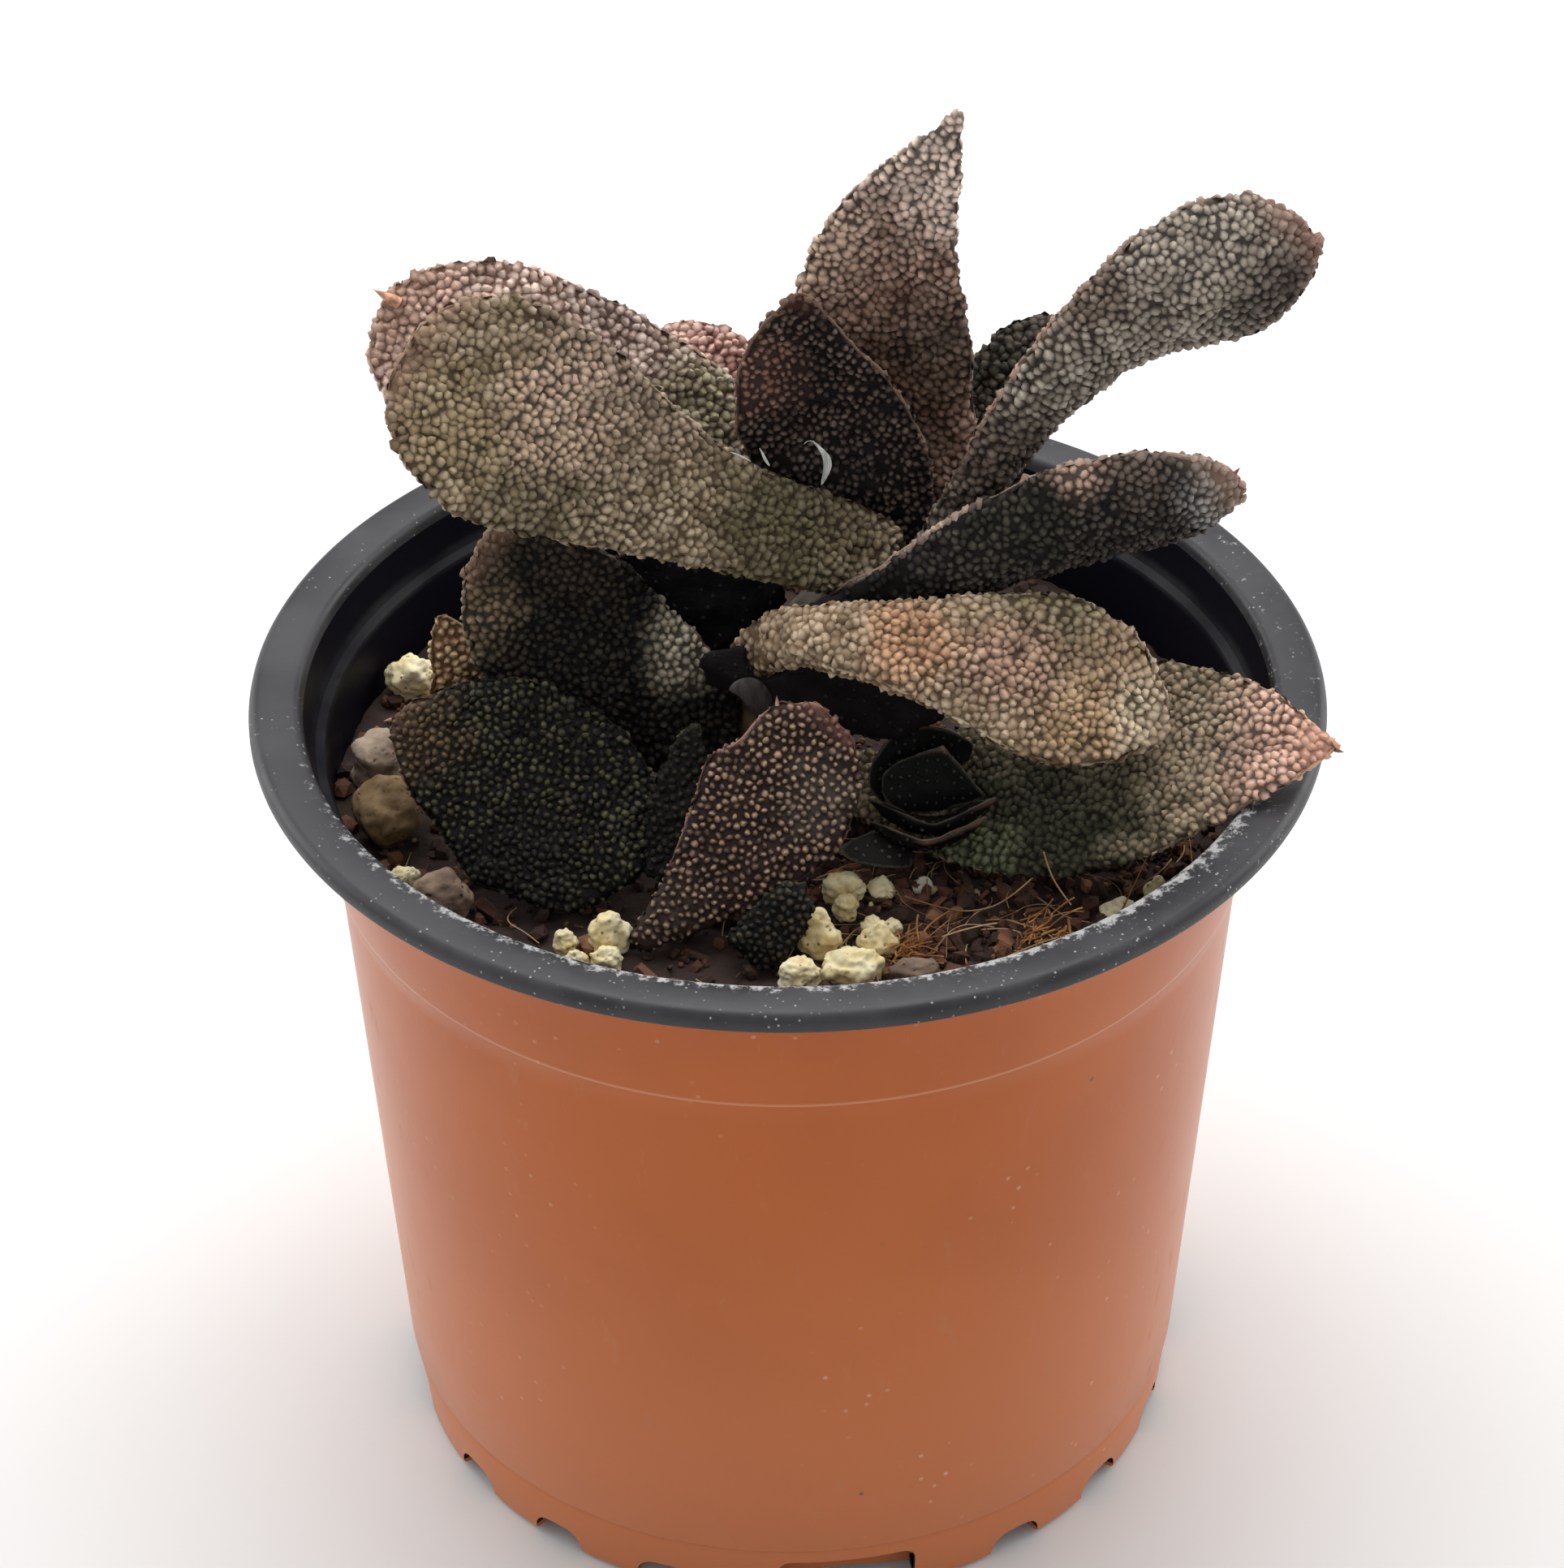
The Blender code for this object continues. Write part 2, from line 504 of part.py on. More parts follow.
STONES = [
    # name, x, y, size across, size deep, size high, colour
    ("pumice_left", -43.6, 18.4, 5.2, 4, 5.5, PUMICE),
    ("pumice_front_top", 3.3, -31.3, 4.4, 3, 6, PUMICE),
    ("pumice_front_left", 1.2, -36.6, 4.2, 3, 4.4, PUMICE),
    ("pumice_front_right", 6.9, -35.6, 6.2, 4.2, 4.8, PUMICE),
    ("pumice_front_side", 9.6, -31.5, 3.4, 2.6, 4.6, PUMICE),
    ("pumice_mid", 6, -21.2, 4.4, 3.2, 3.6, PUMICE),
    ("pumice_mid_low", 6.2, -24.6, 2.6, 2.2, 3.4, PUMICE),
    ("pumice_mid_right", 10.2, -20.8, 2.6, 2.2, 2.8, PUMICE),
    ("pumice_grain_left", 9.0, -28.2, 2.2, 2, 3.4, PUMICE),
    ("pumice_grain_right", 11.4, -28, 1.8, 1.9, 3, PUMICE),
    ("pumice_pale", 14.7, -20, 2.3, 1.8, 2.4, PUMICE),
    ("pumice_offset_high", -19.4, -30.3, 4.2, 2.6, 5.4, PUMICE),
    ("pumice_offset_low", -19.6, -33.5, 3.2, 2.4, 3.8, PUMICE),
    ("pumice_offset_side", -22.9, -33.4, 2.2, 1.8, 2.6, PUMICE),
    ("pumice_offset_left", -24.2, -30.6, 2.4, 2, 3.2, PUMICE),
    ("pumice_rim_left", -42.4, -18.6, 3.4, 2.2, 3.2, PUMICE),
    ("pumice_rim_right", 36.3, -25, 3.8, 2.2, 3.2, PUMICE),
    ("pumice_rim_right_small", 40.4, -21.4, 2.6, 2, 3, PUMICE),
    ("lava_left_high", -46.2, 1.2, 6, 6.6, 7.6, LAVA_GREY),
    ("lava_left_low", -44.4, -8.6, 7.6, 8.6, 7, LAVA_TAN),
    ("lava_left_front", -38, -24.4, 7, 4.6, 6, LAVA_GREY),
    ("lava_front", 13.4, -36, 5.6, 2.8, 3.4, LAVA_GREY),
]


def stone_mesh(seed, x, y, across, deep, high):
    """A rounded lump that sits just above the mix, with a few broad facets."""
    bm = bmesh.new()
    bmesh.ops.create_icosphere(bm, subdivisions=2, radius=0.5)
    for vert in bm.verts:
        p = vert.co.normalized()
        lump = 1 + 0.1 * sin(5 * p.x + seed) * cos(4 * p.y - seed) + 0.08 * sin(6 * p.z + 2 * seed)
        vert.co = Vector((vert.co.x * across, vert.co.y * deep, vert.co.z * high)) * lump
    low = min(vert.co.z for vert in bm.verts)
    rest = max(soil_height(x + dx, y + dy) for dx in (-2, 0, 2) for dy in (-2, 0, 2))
    for vert in bm.verts:
        vert.co += Vector((x, y, rest + GAP - low))
    return bm


def make_stones():
    for seed, (name, x, y, across, deep, high, colour) in enumerate(STONES):
        material = finish_material(name, colour, 0.9)
        add_object(name, stone_mesh(seed, x, y, across, deep, high), material)


clear_scene()
make_pot()
make_soil()
make_plant()
make_stones()
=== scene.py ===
import math
import random

import bmesh
import bpy
from mathutils import Matrix, Vector, kdtree, noise


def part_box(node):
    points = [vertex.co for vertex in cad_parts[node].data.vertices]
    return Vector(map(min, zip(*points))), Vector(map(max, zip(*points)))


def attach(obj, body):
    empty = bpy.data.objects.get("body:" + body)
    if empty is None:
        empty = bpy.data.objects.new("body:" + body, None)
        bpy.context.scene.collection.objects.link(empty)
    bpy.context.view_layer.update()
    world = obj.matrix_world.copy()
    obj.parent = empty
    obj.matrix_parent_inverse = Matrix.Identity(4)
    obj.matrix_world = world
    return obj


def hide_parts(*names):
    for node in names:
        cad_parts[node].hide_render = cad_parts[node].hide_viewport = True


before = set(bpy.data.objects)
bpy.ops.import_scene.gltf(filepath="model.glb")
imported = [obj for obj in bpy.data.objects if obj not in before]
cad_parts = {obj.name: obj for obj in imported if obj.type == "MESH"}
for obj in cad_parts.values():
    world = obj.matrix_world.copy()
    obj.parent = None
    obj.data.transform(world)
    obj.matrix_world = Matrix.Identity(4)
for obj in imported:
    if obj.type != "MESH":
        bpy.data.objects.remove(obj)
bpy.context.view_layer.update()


# Camera and studio: the plant stands on a plain pale sweep under broad soft light, seen from the
# front and about 36 degrees above, with a long lens.
MM = 0.001
PHOTO_HEIGHT = 1932
FOCAL_PIXELS = 5983.4
SENSOR = 36.0
CAMERA_PLACE = (0, -0.4441, 0.4080)
CAMERA_TURN = (53.827, 0.292, -0.124)
SKY_LIGHT = 0.64
AIM = Vector((0, 0, 0.08))


def placed(name, data):
    """A new object that holds this data, linked into the scene."""
    obj = bpy.data.objects.new(name, data)
    bpy.context.collection.objects.link(obj)
    return obj


camera = placed("camera", bpy.data.cameras.new("camera"))
camera.data.sensor_width = SENSOR
camera.data.lens = FOCAL_PIXELS / PHOTO_HEIGHT * SENSOR
camera.data.clip_start = 10 * MM
camera.location = CAMERA_PLACE
camera.rotation_euler = [math.radians(a) for a in CAMERA_TURN]
bpy.context.scene.camera = camera
bpy.context.scene.view_settings.view_transform = "Standard"

world = bpy.data.worlds.new("studio")
bpy.context.scene.world = world
world.use_nodes = True
world.node_tree.nodes["Background"].inputs["Color"].default_value = (1, 0.995, 0.99, 1)
world.node_tree.nodes["Background"].inputs["Strength"].default_value = SKY_LIGHT


def soft_box(name, place, size, watts):
    """A round lamp of this width and power, turned towards the plant."""
    light = bpy.data.lights.new(name, 'AREA')
    light.shape = 'DISK'
    light.size = size
    light.energy = watts
    lamp = placed(name, light)
    lamp.location = place
    lamp.rotation_euler = (AIM - Vector(place)).to_track_quat('-Z', 'Y').to_euler()


soft_box("overhead", (-0.05, 0.35, 1.0), 1.0, 8.6)
soft_box("left_panel", (-1.05, 0.55, 0.45), 1.0, 5.4)
soft_box("right_panel", (1.05, 0.55, 0.5), 1.0, 6.2)


# Floor: a wide seamless sheet of matt pale board, laid flat a hair under the foot of the pot.  It
# runs well past the picture on every side.
FLOOR_SIZE = 6.0
FLOOR_LEVEL = -0.4 * MM


class Value:
    """A number or colour inside a material; sums and products on it add Math nodes."""

    def __init__(self, finish, socket):
        self.finish = finish
        self.socket = socket

    def maths(self, operation, first, second):
        return self.finish.node("ShaderNodeMath", {"operation": operation}, {0: first, 1: second})

    def __add__(self, other):
        return self.maths('ADD', self, other)

    def __radd__(self, other):
        return self.maths('ADD', other, self)

    def __sub__(self, other):
        return self.maths('SUBTRACT', self, other)

    def __rsub__(self, other):
        return self.maths('SUBTRACT', other, self)

    def __mul__(self, other):
        return self.maths('MULTIPLY', self, other)

    def __rmul__(self, other):
        return self.maths('MULTIPLY', other, self)

    def __pow__(self, other):
        return self.maths('POWER', self, other)


class Finish:
    """A procedural surface: a Principled shader and the nodes that feed it."""

    def __init__(self, name, **constants):
        self.material = bpy.data.materials.new(name)
        self.material.use_nodes = True
        self.tree = self.material.node_tree
        self.shader = self.tree.nodes["Principled BSDF"]
        self.use(**constants)
        self.place = self.node("ShaderNodeTexCoord", {}, {}, "Object")

    def node(self, kind, settings, sockets, output=0):
        """Adds one node: its settings first, then a value or a link for each socket."""
        node = self.tree.nodes.new(kind)
        for key, value in settings.items():
            setattr(node, key, value)
        for key, value in sockets.items():
            self.feed(node.inputs[key], value)
        return Value(self, node.outputs[output])

    def feed(self, socket, value):
        if isinstance(value, Value):
            self.tree.links.new(value.socket, socket)
        elif isinstance(value, tuple) and socket.type == 'RGBA':
            socket.default_value = (*value, 1)
        else:
            socket.default_value = value

    def mix(self, low, high, amount):
        return self.node("ShaderNodeMix", {"data_type": 'RGBA'}, {0: amount, 6: low, 7: high}, 2)

    def multiply(self, colour, other, amount):
        """A colour times another, as far as the amount goes."""
        return self.node("ShaderNodeMix", {"data_type": 'RGBA', "blend_type": 'MULTIPLY'},
                         {0: amount, 6: colour, 7: other}, 2)

    def noise(self, scale, detail=3.0, roughness=0.55, at=None):
        return self.node("ShaderNodeTexNoise", {},
                         {"Vector": at or self.place, "Scale": scale, "Detail": detail,
                          "Roughness": roughness}, "Fac")

    def cells(self, scale):
        """Distance to the nearest of many scattered points, 0 on a point."""
        return self.node("ShaderNodeTexVoronoi", {}, {"Vector": self.place, "Scale": scale}, "Distance")

    def near(self, centre, radius):
        """1 at a place given in millimetres, and 0 from a wavering radius outwards."""
        apart = self.node("ShaderNodeVectorMath", {"operation": 'DISTANCE'},
                          {0: self.place, 1: tuple(c * MM for c in centre)}, "Value")
        waver = (self.noise(170, 3.0) - 0.5) * (radius * 0.9 * MM)
        return self.step(apart + waver, radius * MM, radius * 0.3 * MM)

    def stretched(self, x, y, z):
        """The place on the piece, with each axis scaled on its own."""
        return self.node("ShaderNodeVectorMath", {"operation": 'MULTIPLY'},
                         {0: self.place, 1: (x, y, z)})

    def step(self, value, low, high):
        """0 below low, 1 above high, and smooth between."""
        return self.node("ShaderNodeMapRange", {"interpolation_type": 'SMOOTHSTEP'},
                         {"Value": value, "From Min": low, "From Max": high})

    def patches(self, scale, low, high, detail=3.0):
        """Soft-edged patches of noise, 1 inside them and 0 between."""
        return self.step(self.noise(scale, detail), low, high)

    def attribute(self, name):
        return self.node("ShaderNodeAttribute", {"attribute_name": name}, {}, "Fac")

    def axis(self, letter):
        return self.node("ShaderNodeSeparateXYZ", {}, {0: self.place}, letter)

    def radius(self):
        x, y = self.axis("X"), self.axis("Y")
        return (x * x + y * y) ** 0.5

    def largest(self, first, second):
        return self.node("ShaderNodeMath", {"operation": 'MAXIMUM'}, {0: first, 1: second})

    def bump(self, height, depth, strength=1.0):
        return self.node("ShaderNodeBump", {},
                         {"Strength": strength, "Distance": depth, "Height": height}, "Normal")

    def use(self, **sockets):
        """Feeds the shader's own sockets; base_color stands for Base Color, and so on."""
        for name, value in sockets.items():
            label = "IOR" if name == "ior" else name.replace("_", " ").title()
            self.feed(self.shader.inputs[label], value)
        return self.material


def tint(red, green, blue):
    """A colour given as it looks, 0 to 255, turned into the share of light that it returns."""
    return tuple(((c / 255 + 0.055) / 1.055) ** 2.4 for c in (red, green, blue))


def primitive(kind, **sizes):
    """One of Blender's primitives, added with nothing else selected."""
    bpy.ops.object.select_all(action='DESELECT')
    getattr(bpy.ops.mesh, "primitive_" + kind + "_add")(**sizes)
    return bpy.context.object


def dress(mesh, *finishes):
    """Gives a mesh these materials, in place of any it had."""
    mesh.materials.clear()
    for finish in finishes:
        mesh.materials.append(finish)


floor = primitive("plane", size=FLOOR_SIZE, location=(0, 0, FLOOR_LEVEL))
floor.name = "floor"
sheet = Finish("pale_sheet", roughness=0.8)
mottle = sheet.patches(6.0, 0.3, 0.7, 2.0)
paleness = sheet.mix(tint(222, 223, 223), tint(226, 227, 227), mottle)
dress(floor.data, sheet.use(base_color=paleness))


# Pot: one thin shell, formed from a two-layer sheet that is orange outside and black inside.  It
# stands on a notched foot ring and carries a fine mould line, a collar and a flat rolled lip.
pot_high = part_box("pot")[1]
LIP_RADIUS = pot_high.x
LIP_TOP = pot_high.z
LIP_DEPTH = 2.3 * MM
ORANGE_TOP = LIP_TOP - 2.05 * MM
BLACK_LOW = LIP_TOP - 3.4 * MM
COLLAR_BREAK = 79.0 * MM
FOOT_CREASE = 7.6 * MM
FOOT_EDGE = 0.8 * MM
POT_SEGMENTS = 256


def select_only(*objects):
    bpy.ops.object.select_all(action='DESELECT')
    for obj in objects:
        obj.select_set(True)
    bpy.context.view_layer.objects.active = objects[0]


def edit(obj):
    """Opens one object in edit mode with all of its mesh selected."""
    select_only(obj)
    bpy.ops.object.mode_set(mode='EDIT')
    bpy.ops.mesh.select_all(action='SELECT')


def leave_edit():
    bpy.ops.object.mode_set(mode='OBJECT')


def modify(piece, name, kind, **settings):
    """Adds a modifier with these settings."""
    modifier = piece.modifiers.new(name, kind)
    for key, value in settings.items():
        setattr(modifier, key, value)
    return modifier


def apply_all(piece):
    """Applies every modifier of a piece, in order."""
    select_only(piece)
    for modifier in list(piece.modifiers):
        bpy.ops.object.modifier_apply(modifier=modifier.name)


def rides(piece, slot, *nodes):
    """The finished piece belongs to the plant, and stands for these CAD nodes."""
    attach(piece, "root")
    if nodes:
        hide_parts(*nodes)


def quarter(centre, radius, start, end, steps):
    """Points of an arc between two angles in degrees, as radius and height pairs."""
    turns = [math.radians(start + (end - start) * k / steps) for k in range(steps + 1)]
    return [(centre[0] + radius * math.cos(a), centre[1] + radius * math.sin(a)) for a in turns]


def pot_outline():
    """Radius and height, in metres, up the outside, over the lip and down the inside."""
    lip_radius, lip_top = LIP_RADIUS / MM, LIP_TOP / MM
    lip_low = lip_top - LIP_DEPTH / MM
    collar, crease = COLLAR_BREAK / MM, FOOT_CREASE / MM
    body_low, body_high = 46.5, 51.3
    outline = [(39.0, 5.0), (40.2, 4.8), (40.9, 0.6), (41.4, 0), (45.1, 0), (45.5, 0.3), (46.2, 7.0),
               (46.05, crease), (46.35, crease + 0.35)]
    outline += [(body_low + (body_high - body_low) * t, 8.4 + (collar - 8.8) * t)
                for t in (0, 0.15, 0.3, 0.45, 0.6, 0.75, 0.88, 0.96, 1)]
    outline += [(51.55, collar), (51.95, collar + 0.2), (52.05, collar + 0.7), (53.0, 86),
                (54.2, lip_low - 1.0), (54.5, lip_low - 0.3), (55.1, lip_low), (58.9, lip_low - 0.05)]
    outline += quarter((lip_radius - 0.5, lip_low + 0.45), 0.5, -80, 0, 3)
    outline += quarter((lip_radius - 1.3, lip_top - 1.3), 1.3, 5, 90, 5)
    outline += [(57.4, lip_top + 0.04), (56.2, lip_top - 0.02)]
    outline += quarter((55.2, lip_top - 1.1), 1.0, 95, 175, 4)
    outline += [(54.0, 96.2), (53.4, 92.6), (52.9, 91.6), (51.9, 91.2), (51.5, 90.4), (51.0, 80.2),
                (50.3, 78.4), (45.5, 8), (44.6, 1), (42.0, 1), (40.9, 5.7), (39.6, 6.1)]
    return [(radius * MM, height * MM) for radius, height in outline]


def turned(name, outline, segments):
    """A turned shell: a disc whose rim is drawn up ring by ring along an outline, then closed."""
    radius, height = outline[0]
    piece = primitive("circle", vertices=segments, radius=radius, fill_type='TRIFAN')
    piece.name = name
    piece.location.z = height
    bpy.ops.object.transform_apply(location=True)
    edit(piece)
    bpy.ops.mesh.select_mode(type='EDGE')
    bpy.ops.mesh.select_all(action='DESELECT')
    bpy.ops.mesh.select_non_manifold()
    for next_radius, next_height in outline[1:]:
        bpy.ops.mesh.extrude_edges_move(
            TRANSFORM_OT_translate={"value": (0, 0, next_height - height)})
        grow = next_radius / radius
        bpy.ops.transform.resize(value=(grow, grow, 1), center_override=(0, 0, next_height))
        radius, height = next_radius, next_height
    bpy.ops.mesh.extrude_edges_move()
    bpy.ops.mesh.merge(type='CENTER')
    bpy.ops.mesh.select_all(action='SELECT')
    bpy.ops.mesh.normals_make_consistent(inside=False)
    leave_edit()
    return piece


def cut_foot_notches(pot):
    """Arched slots around the foot: one wide drain and three small ones in each quarter."""
    notches = []
    for quarter_turn in range(4):
        drain = 8 + 90 * quarter_turn
        notches.append((drain, 16.0 * MM, 6.0 * MM, 1.6 * MM))
        for step in (-45, -27, 27):
            notches.append((drain + step, 6.8 * MM, 3.0 * MM, 2.4 * MM))
    cutters = []
    for azimuth, width, height, corner in notches:
        tool = primitive("cube", size=1, location=(46 * MM, 0, 0))
        tool.scale = (9.6 * MM, width, 2 * height)
        bpy.ops.object.transform_apply(location=True, rotation=False, scale=True)
        edit(tool)
        bpy.ops.mesh.select_all(action='DESELECT')
        leave_edit()
        for edge in tool.data.edges:
            ends = [tool.data.vertices[v].co for v in edge.vertices]
            edge.select = all(e.z > 0 for e in ends) and abs(ends[0].x - ends[1].x) > 5 * MM
        bpy.ops.object.mode_set(mode='EDIT')
        bpy.ops.mesh.bevel(offset=corner, segments=5)
        leave_edit()
        tool.rotation_euler = (0, 0, math.radians(azimuth))
        bpy.ops.object.transform_apply(location=False, rotation=True, scale=False)
        cutters.append(tool)
    select_only(*cutters)
    bpy.ops.object.join()
    tool = bpy.context.object
    modify(pot, "notches", 'BOOLEAN', object=tool, solver='EXACT')
    apply_all(pot)
    bpy.data.objects.remove(tool, do_unlink=True)


def orange_plastic():
    """Satin orange layer with fine rub marks and dust specks, paler towards the foot, with a painted
    highlight along the mould line.
    """
    skin = Finish("orange_plastic", roughness=0.3, ior=1.4)
    z = skin.axis("Z")
    body = skin.mix((0.41, 0.089, 0.007), (0.455, 0.103, 0.01), skin.patches(28, 0.35, 0.65))
    # Paler towards the foot.
    low = skin.step(z, 0.075, 0.0)
    body = skin.mix(body, (0.55, 0.185, 0.075), low * 0.8)
    scuff = skin.step(skin.noise(1.0, 5.0, 0.62, skin.stretched(420, 420, 130)), 0.6, 0.72)
    body = skin.mix(body, (0.46, 0.2, 0.11), scuff * 0.22)
    # Painted highlight along the mould line: a pale line where light catches its small step.
    mould_line_highlight = skin.step(z, COLLAR_BREAK - 0.5 * MM, COLLAR_BREAK - 0.1 * MM)
    mould_line_highlight = mould_line_highlight * skin.step(z, COLLAR_BREAK + 0.75 * MM, COLLAR_BREAK + 0.3 * MM)
    body = skin.mix(body, (0.62, 0.3, 0.17), mould_line_highlight * 0.55)
    dust = skin.step(skin.cells(420), 0.16, 0.06) * skin.patches(45, 0.52, 0.66, 2.0)
    dust = dust * (0.35 + 0.65 * skin.step(skin.axis("X"), -0.02, 0.04))
    body = skin.mix(body, (0.75, 0.55, 0.42), dust * 0.6)
    grime = skin.step(skin.cells(230), 0.09, 0.04) * skin.patches(60, 0.6, 0.7, 2.0)
    body = skin.mix(body, (0.12, 0.06, 0.035), grime * 0.7)
    ripple = skin.noise(1.0, 2.0, 0.5, skin.stretched(34, 34, 9)) * 0.8 + skin.noise(900, 2.0) * 0.04
    rough = 0.26 + 0.08 * skin.noise(60) + scuff * 0.12 + dust * 0.3
    return skin.use(base_color=body, roughness=rough, normal=skin.bump(ripple, 0.9 * MM, 0.35))


def black_plastic():
    """Black layer on the lip, dulled by dried mineral crust and splashes."""
    skin = Finish("black_plastic", roughness=0.4, ior=1.45)
    z, y, r = skin.axis("Z"), skin.axis("Y"), skin.radius()
    lip = skin.step(z, LIP_TOP - 4 * MM, LIP_TOP - 2 * MM)
    base = skin.mix((0.003, 0.003, 0.004), (0.018, 0.0175, 0.021), lip)
    haze = skin.patches(70, 0.42, 0.7, 4.0) * lip
    base = skin.mix(base, (0.07, 0.07, 0.076), haze * 0.5)
    near = skin.step(y, 0.01, -0.045)
    right = skin.step(skin.axis("X"), 0.0, 0.05)
    inner = skin.step(r, 57.2 * MM, 54.6 * MM)
    spread = near * 0.5 + right * 0.35
    drops = skin.step(skin.noise(190, 3.0) + spread * 0.2, 0.55, 0.7)
    splash = skin.step(skin.cells(1100), 0.2, 0.06) * drops
    crust = skin.step(skin.noise(800, 5.0, 0.75) + near * inner * 0.24 + right * 0.06, 0.66, 0.8)
    mineral = skin.largest(splash, crust) * lip
    base = skin.mix(base, (0.5, 0.5, 0.5), mineral * 0.8)
    rough = 0.36 + mineral * 0.45 + haze * 0.2 + skin.noise(300) * 0.08
    relief = skin.noise(700, 3.0) * 0.2 + mineral
    return skin.use(base_color=base, roughness=rough, normal=skin.bump(relief, 0.12 * MM, 0.5))


def inner_plastic():
    """The same black layer down inside, where it is clean and deep, with dust and a painted highlight on
    the stacking ledge.
    """
    skin = Finish("inner_plastic", roughness=0.42, ior=1.17)
    z = skin.axis("Z")
    # The stacking ledge is paler: dust in patches, and a painted highlight where the ledge faces up.
    ledge = skin.step(z, 90.6 * MM, 91.2 * MM) * skin.step(z, 92.8 * MM, 92.0 * MM)
    ledge_dust_and_highlight = ledge * skin.patches(90, 0.3, 0.7)
    base = skin.mix((0.003, 0.0028, 0.006), (0.02, 0.02, 0.024), ledge_dust_and_highlight)
    return skin.use(base_color=base, normal=skin.bump(skin.noise(500, 3.0), 0.1 * MM, 0.4))


pot = turned("nursery_pot", pot_outline(), POT_SEGMENTS)
cut_foot_notches(pot)
dress(pot.data, orange_plastic(), black_plastic(), inner_plastic())
for face in pot.data.polygons:
    centre = face.center
    outward = face.normal.x * centre.x + face.normal.y * centre.y > 0
    outside_body = centre.z < ORANGE_TOP and (outward or face.normal.z < -0.5)
    if outside_body or centre.z < FOOT_EDGE:
        face.material_index = 0
    else:
        face.material_index = 1 if centre.z > BLACK_LOW else 2
select_only(pot)
bpy.ops.object.shade_smooth_by_angle(angle=math.radians(40))
rides(pot, "pot_plastic", "pot")


# Growing mix: dark composted bark packed round the roots to about 15 mm below the lip.  A loose
# layer of crumbs, bark chips, coir fibres and pale grit lies on it.
CRUST_RADIUS = 51.2 * MM
CRUST_LEVEL = 83.0 * MM
CRUST_ROWS = 128
CRUMBS = 2500
CHIPS = 520
FIBRES = 150
GRIT = 45
chance = random.Random(8)


def mix_height(x, y):
    """Level of the loose surface, which heaves by a millimetre or so."""
    low = noise.noise((x * 70, y * 70, 0.3)) * 0.9 * MM
    fine = noise.noise((x * 330, y * 330, 5.1)) * 0.5 * MM
    return CRUST_LEVEL + low + fine


def spot(reach=50.2 * MM, front=0.35):
    """A chance place on the surface, more often towards the open front right."""
    while True:
        x, y = chance.uniform(-reach, reach), chance.uniform(-reach, reach)
        if math.hypot(x, y) < reach:
            if chance.random() < front:
                x, y = abs(x) * 0.9, -abs(y)
            return x, y


def mix_finish(name, dark, middle, bright):
    """Matt crumbling matter in three tones, dark over most of it, with a few bright scraps."""
    mix = Finish(name, roughness=0.9)
    tone = mix.attribute("tone")
    body = mix.mix(tint(*dark), tint(*middle), mix.step(tone + mix.noise(330) - 0.5, 0.25, 0.8))
    body = mix.mix(body, tint(*bright), mix.step(tone, 0.82, 0.97) * mix.patches(240, 0.4, 0.6, 2.0))
    grain = mix.noise(1400, 4.0)
    return mix.use(base_color=body, normal=mix.bump(grain, 0.25 * MM, 0.8))


def strew(name, model, places, slot, finish):
    """Copies of a model at many places, gathered in one piece, each copy with its own tone."""
    points, faces, tones = [], [], []
    for place in places:
        first = len(points)
        tone = chance.random()
        points += [place @ v.co for v in model.data.vertices]
        tones += [tone] * len(model.data.vertices)
        faces += [[first + i for i in p.vertices] for p in model.data.polygons]
    mesh = bpy.data.meshes.new(name)
    mesh.from_pydata(points, [], faces)
    mesh.attributes.new("tone", 'FLOAT', 'POINT').data.foreach_set("value", tones)
    dress(mesh, finish)
    piece = placed(name, mesh)
    bpy.data.objects.remove(model, do_unlink=True)
    rides(piece, slot)


def lying(x, y, sink, size, tip=0.5):
    """A chance turn and size for a scrap that lies on the surface."""
    turn = Matrix.Rotation(chance.uniform(0, 6.28), 4, 'Z')
    turn = turn @ Matrix.Rotation(chance.gauss(0, tip), 4, 'X')
    turn = turn @ Matrix.Rotation(chance.gauss(0, tip), 4, 'Y')
    rise = mix_height(x, y) + sink
    return Matrix.Translation((x, y, rise)) @ turn @ Matrix.Diagonal((*size, 1))


def smooth(piece):
    select_only(piece)
    bpy.ops.object.shade_smooth()


def rough_grain(least, most):
    """A small faceted grain, out of round by these shares."""
    grain = primitive("ico_sphere", subdivisions=1, radius=1)
    for vert in grain.data.vertices:
        vert.co *= chance.uniform(least, most)
    return grain


dress(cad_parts["root_ball"].data,
      mix_finish("packed_mix", (46, 32, 25), (80, 52, 38), (120, 78, 52)))

crust = primitive("grid", x_subdivisions=CRUST_ROWS, y_subdivisions=CRUST_ROWS, size=2 * CRUST_RADIUS)
crust.name = "mix_surface"
for vert in crust.data.vertices:
    x, y = vert.co.x, vert.co.y
    square = max(abs(x), abs(y))
    if square > 0:
        pull = square / math.hypot(x, y)
        x, y = x * pull, y * pull
    clod = noise.voronoi((x * 420, y * 420, 2.0))[0][0]
    vert.co = (x, y, mix_height(x, y) + (0.5 - clod) * 0.9 * MM)
smooth(crust)
dress(crust.data, mix_finish("loose_mix", (50, 34, 28), (94, 62, 48), (140, 96, 70)))
rides(crust, "growing_mix")

crumb = rough_grain(0.75, 1.25)
heaps = []
for _ in range(CRUMBS):
    x, y = spot()
    size = 0.35 * MM + 0.9 * MM * chance.random() ** 2.5
    heaps.append(lying(x, y, size * 0.35, [size * chance.uniform(0.7, 1.3) for _ in range(3)], 1.5))
strew("mix_crumbs", crumb, heaps, "growing_mix",
      mix_finish("crumb_brown", (52, 34, 27), (104, 68, 50), (156, 108, 76)))

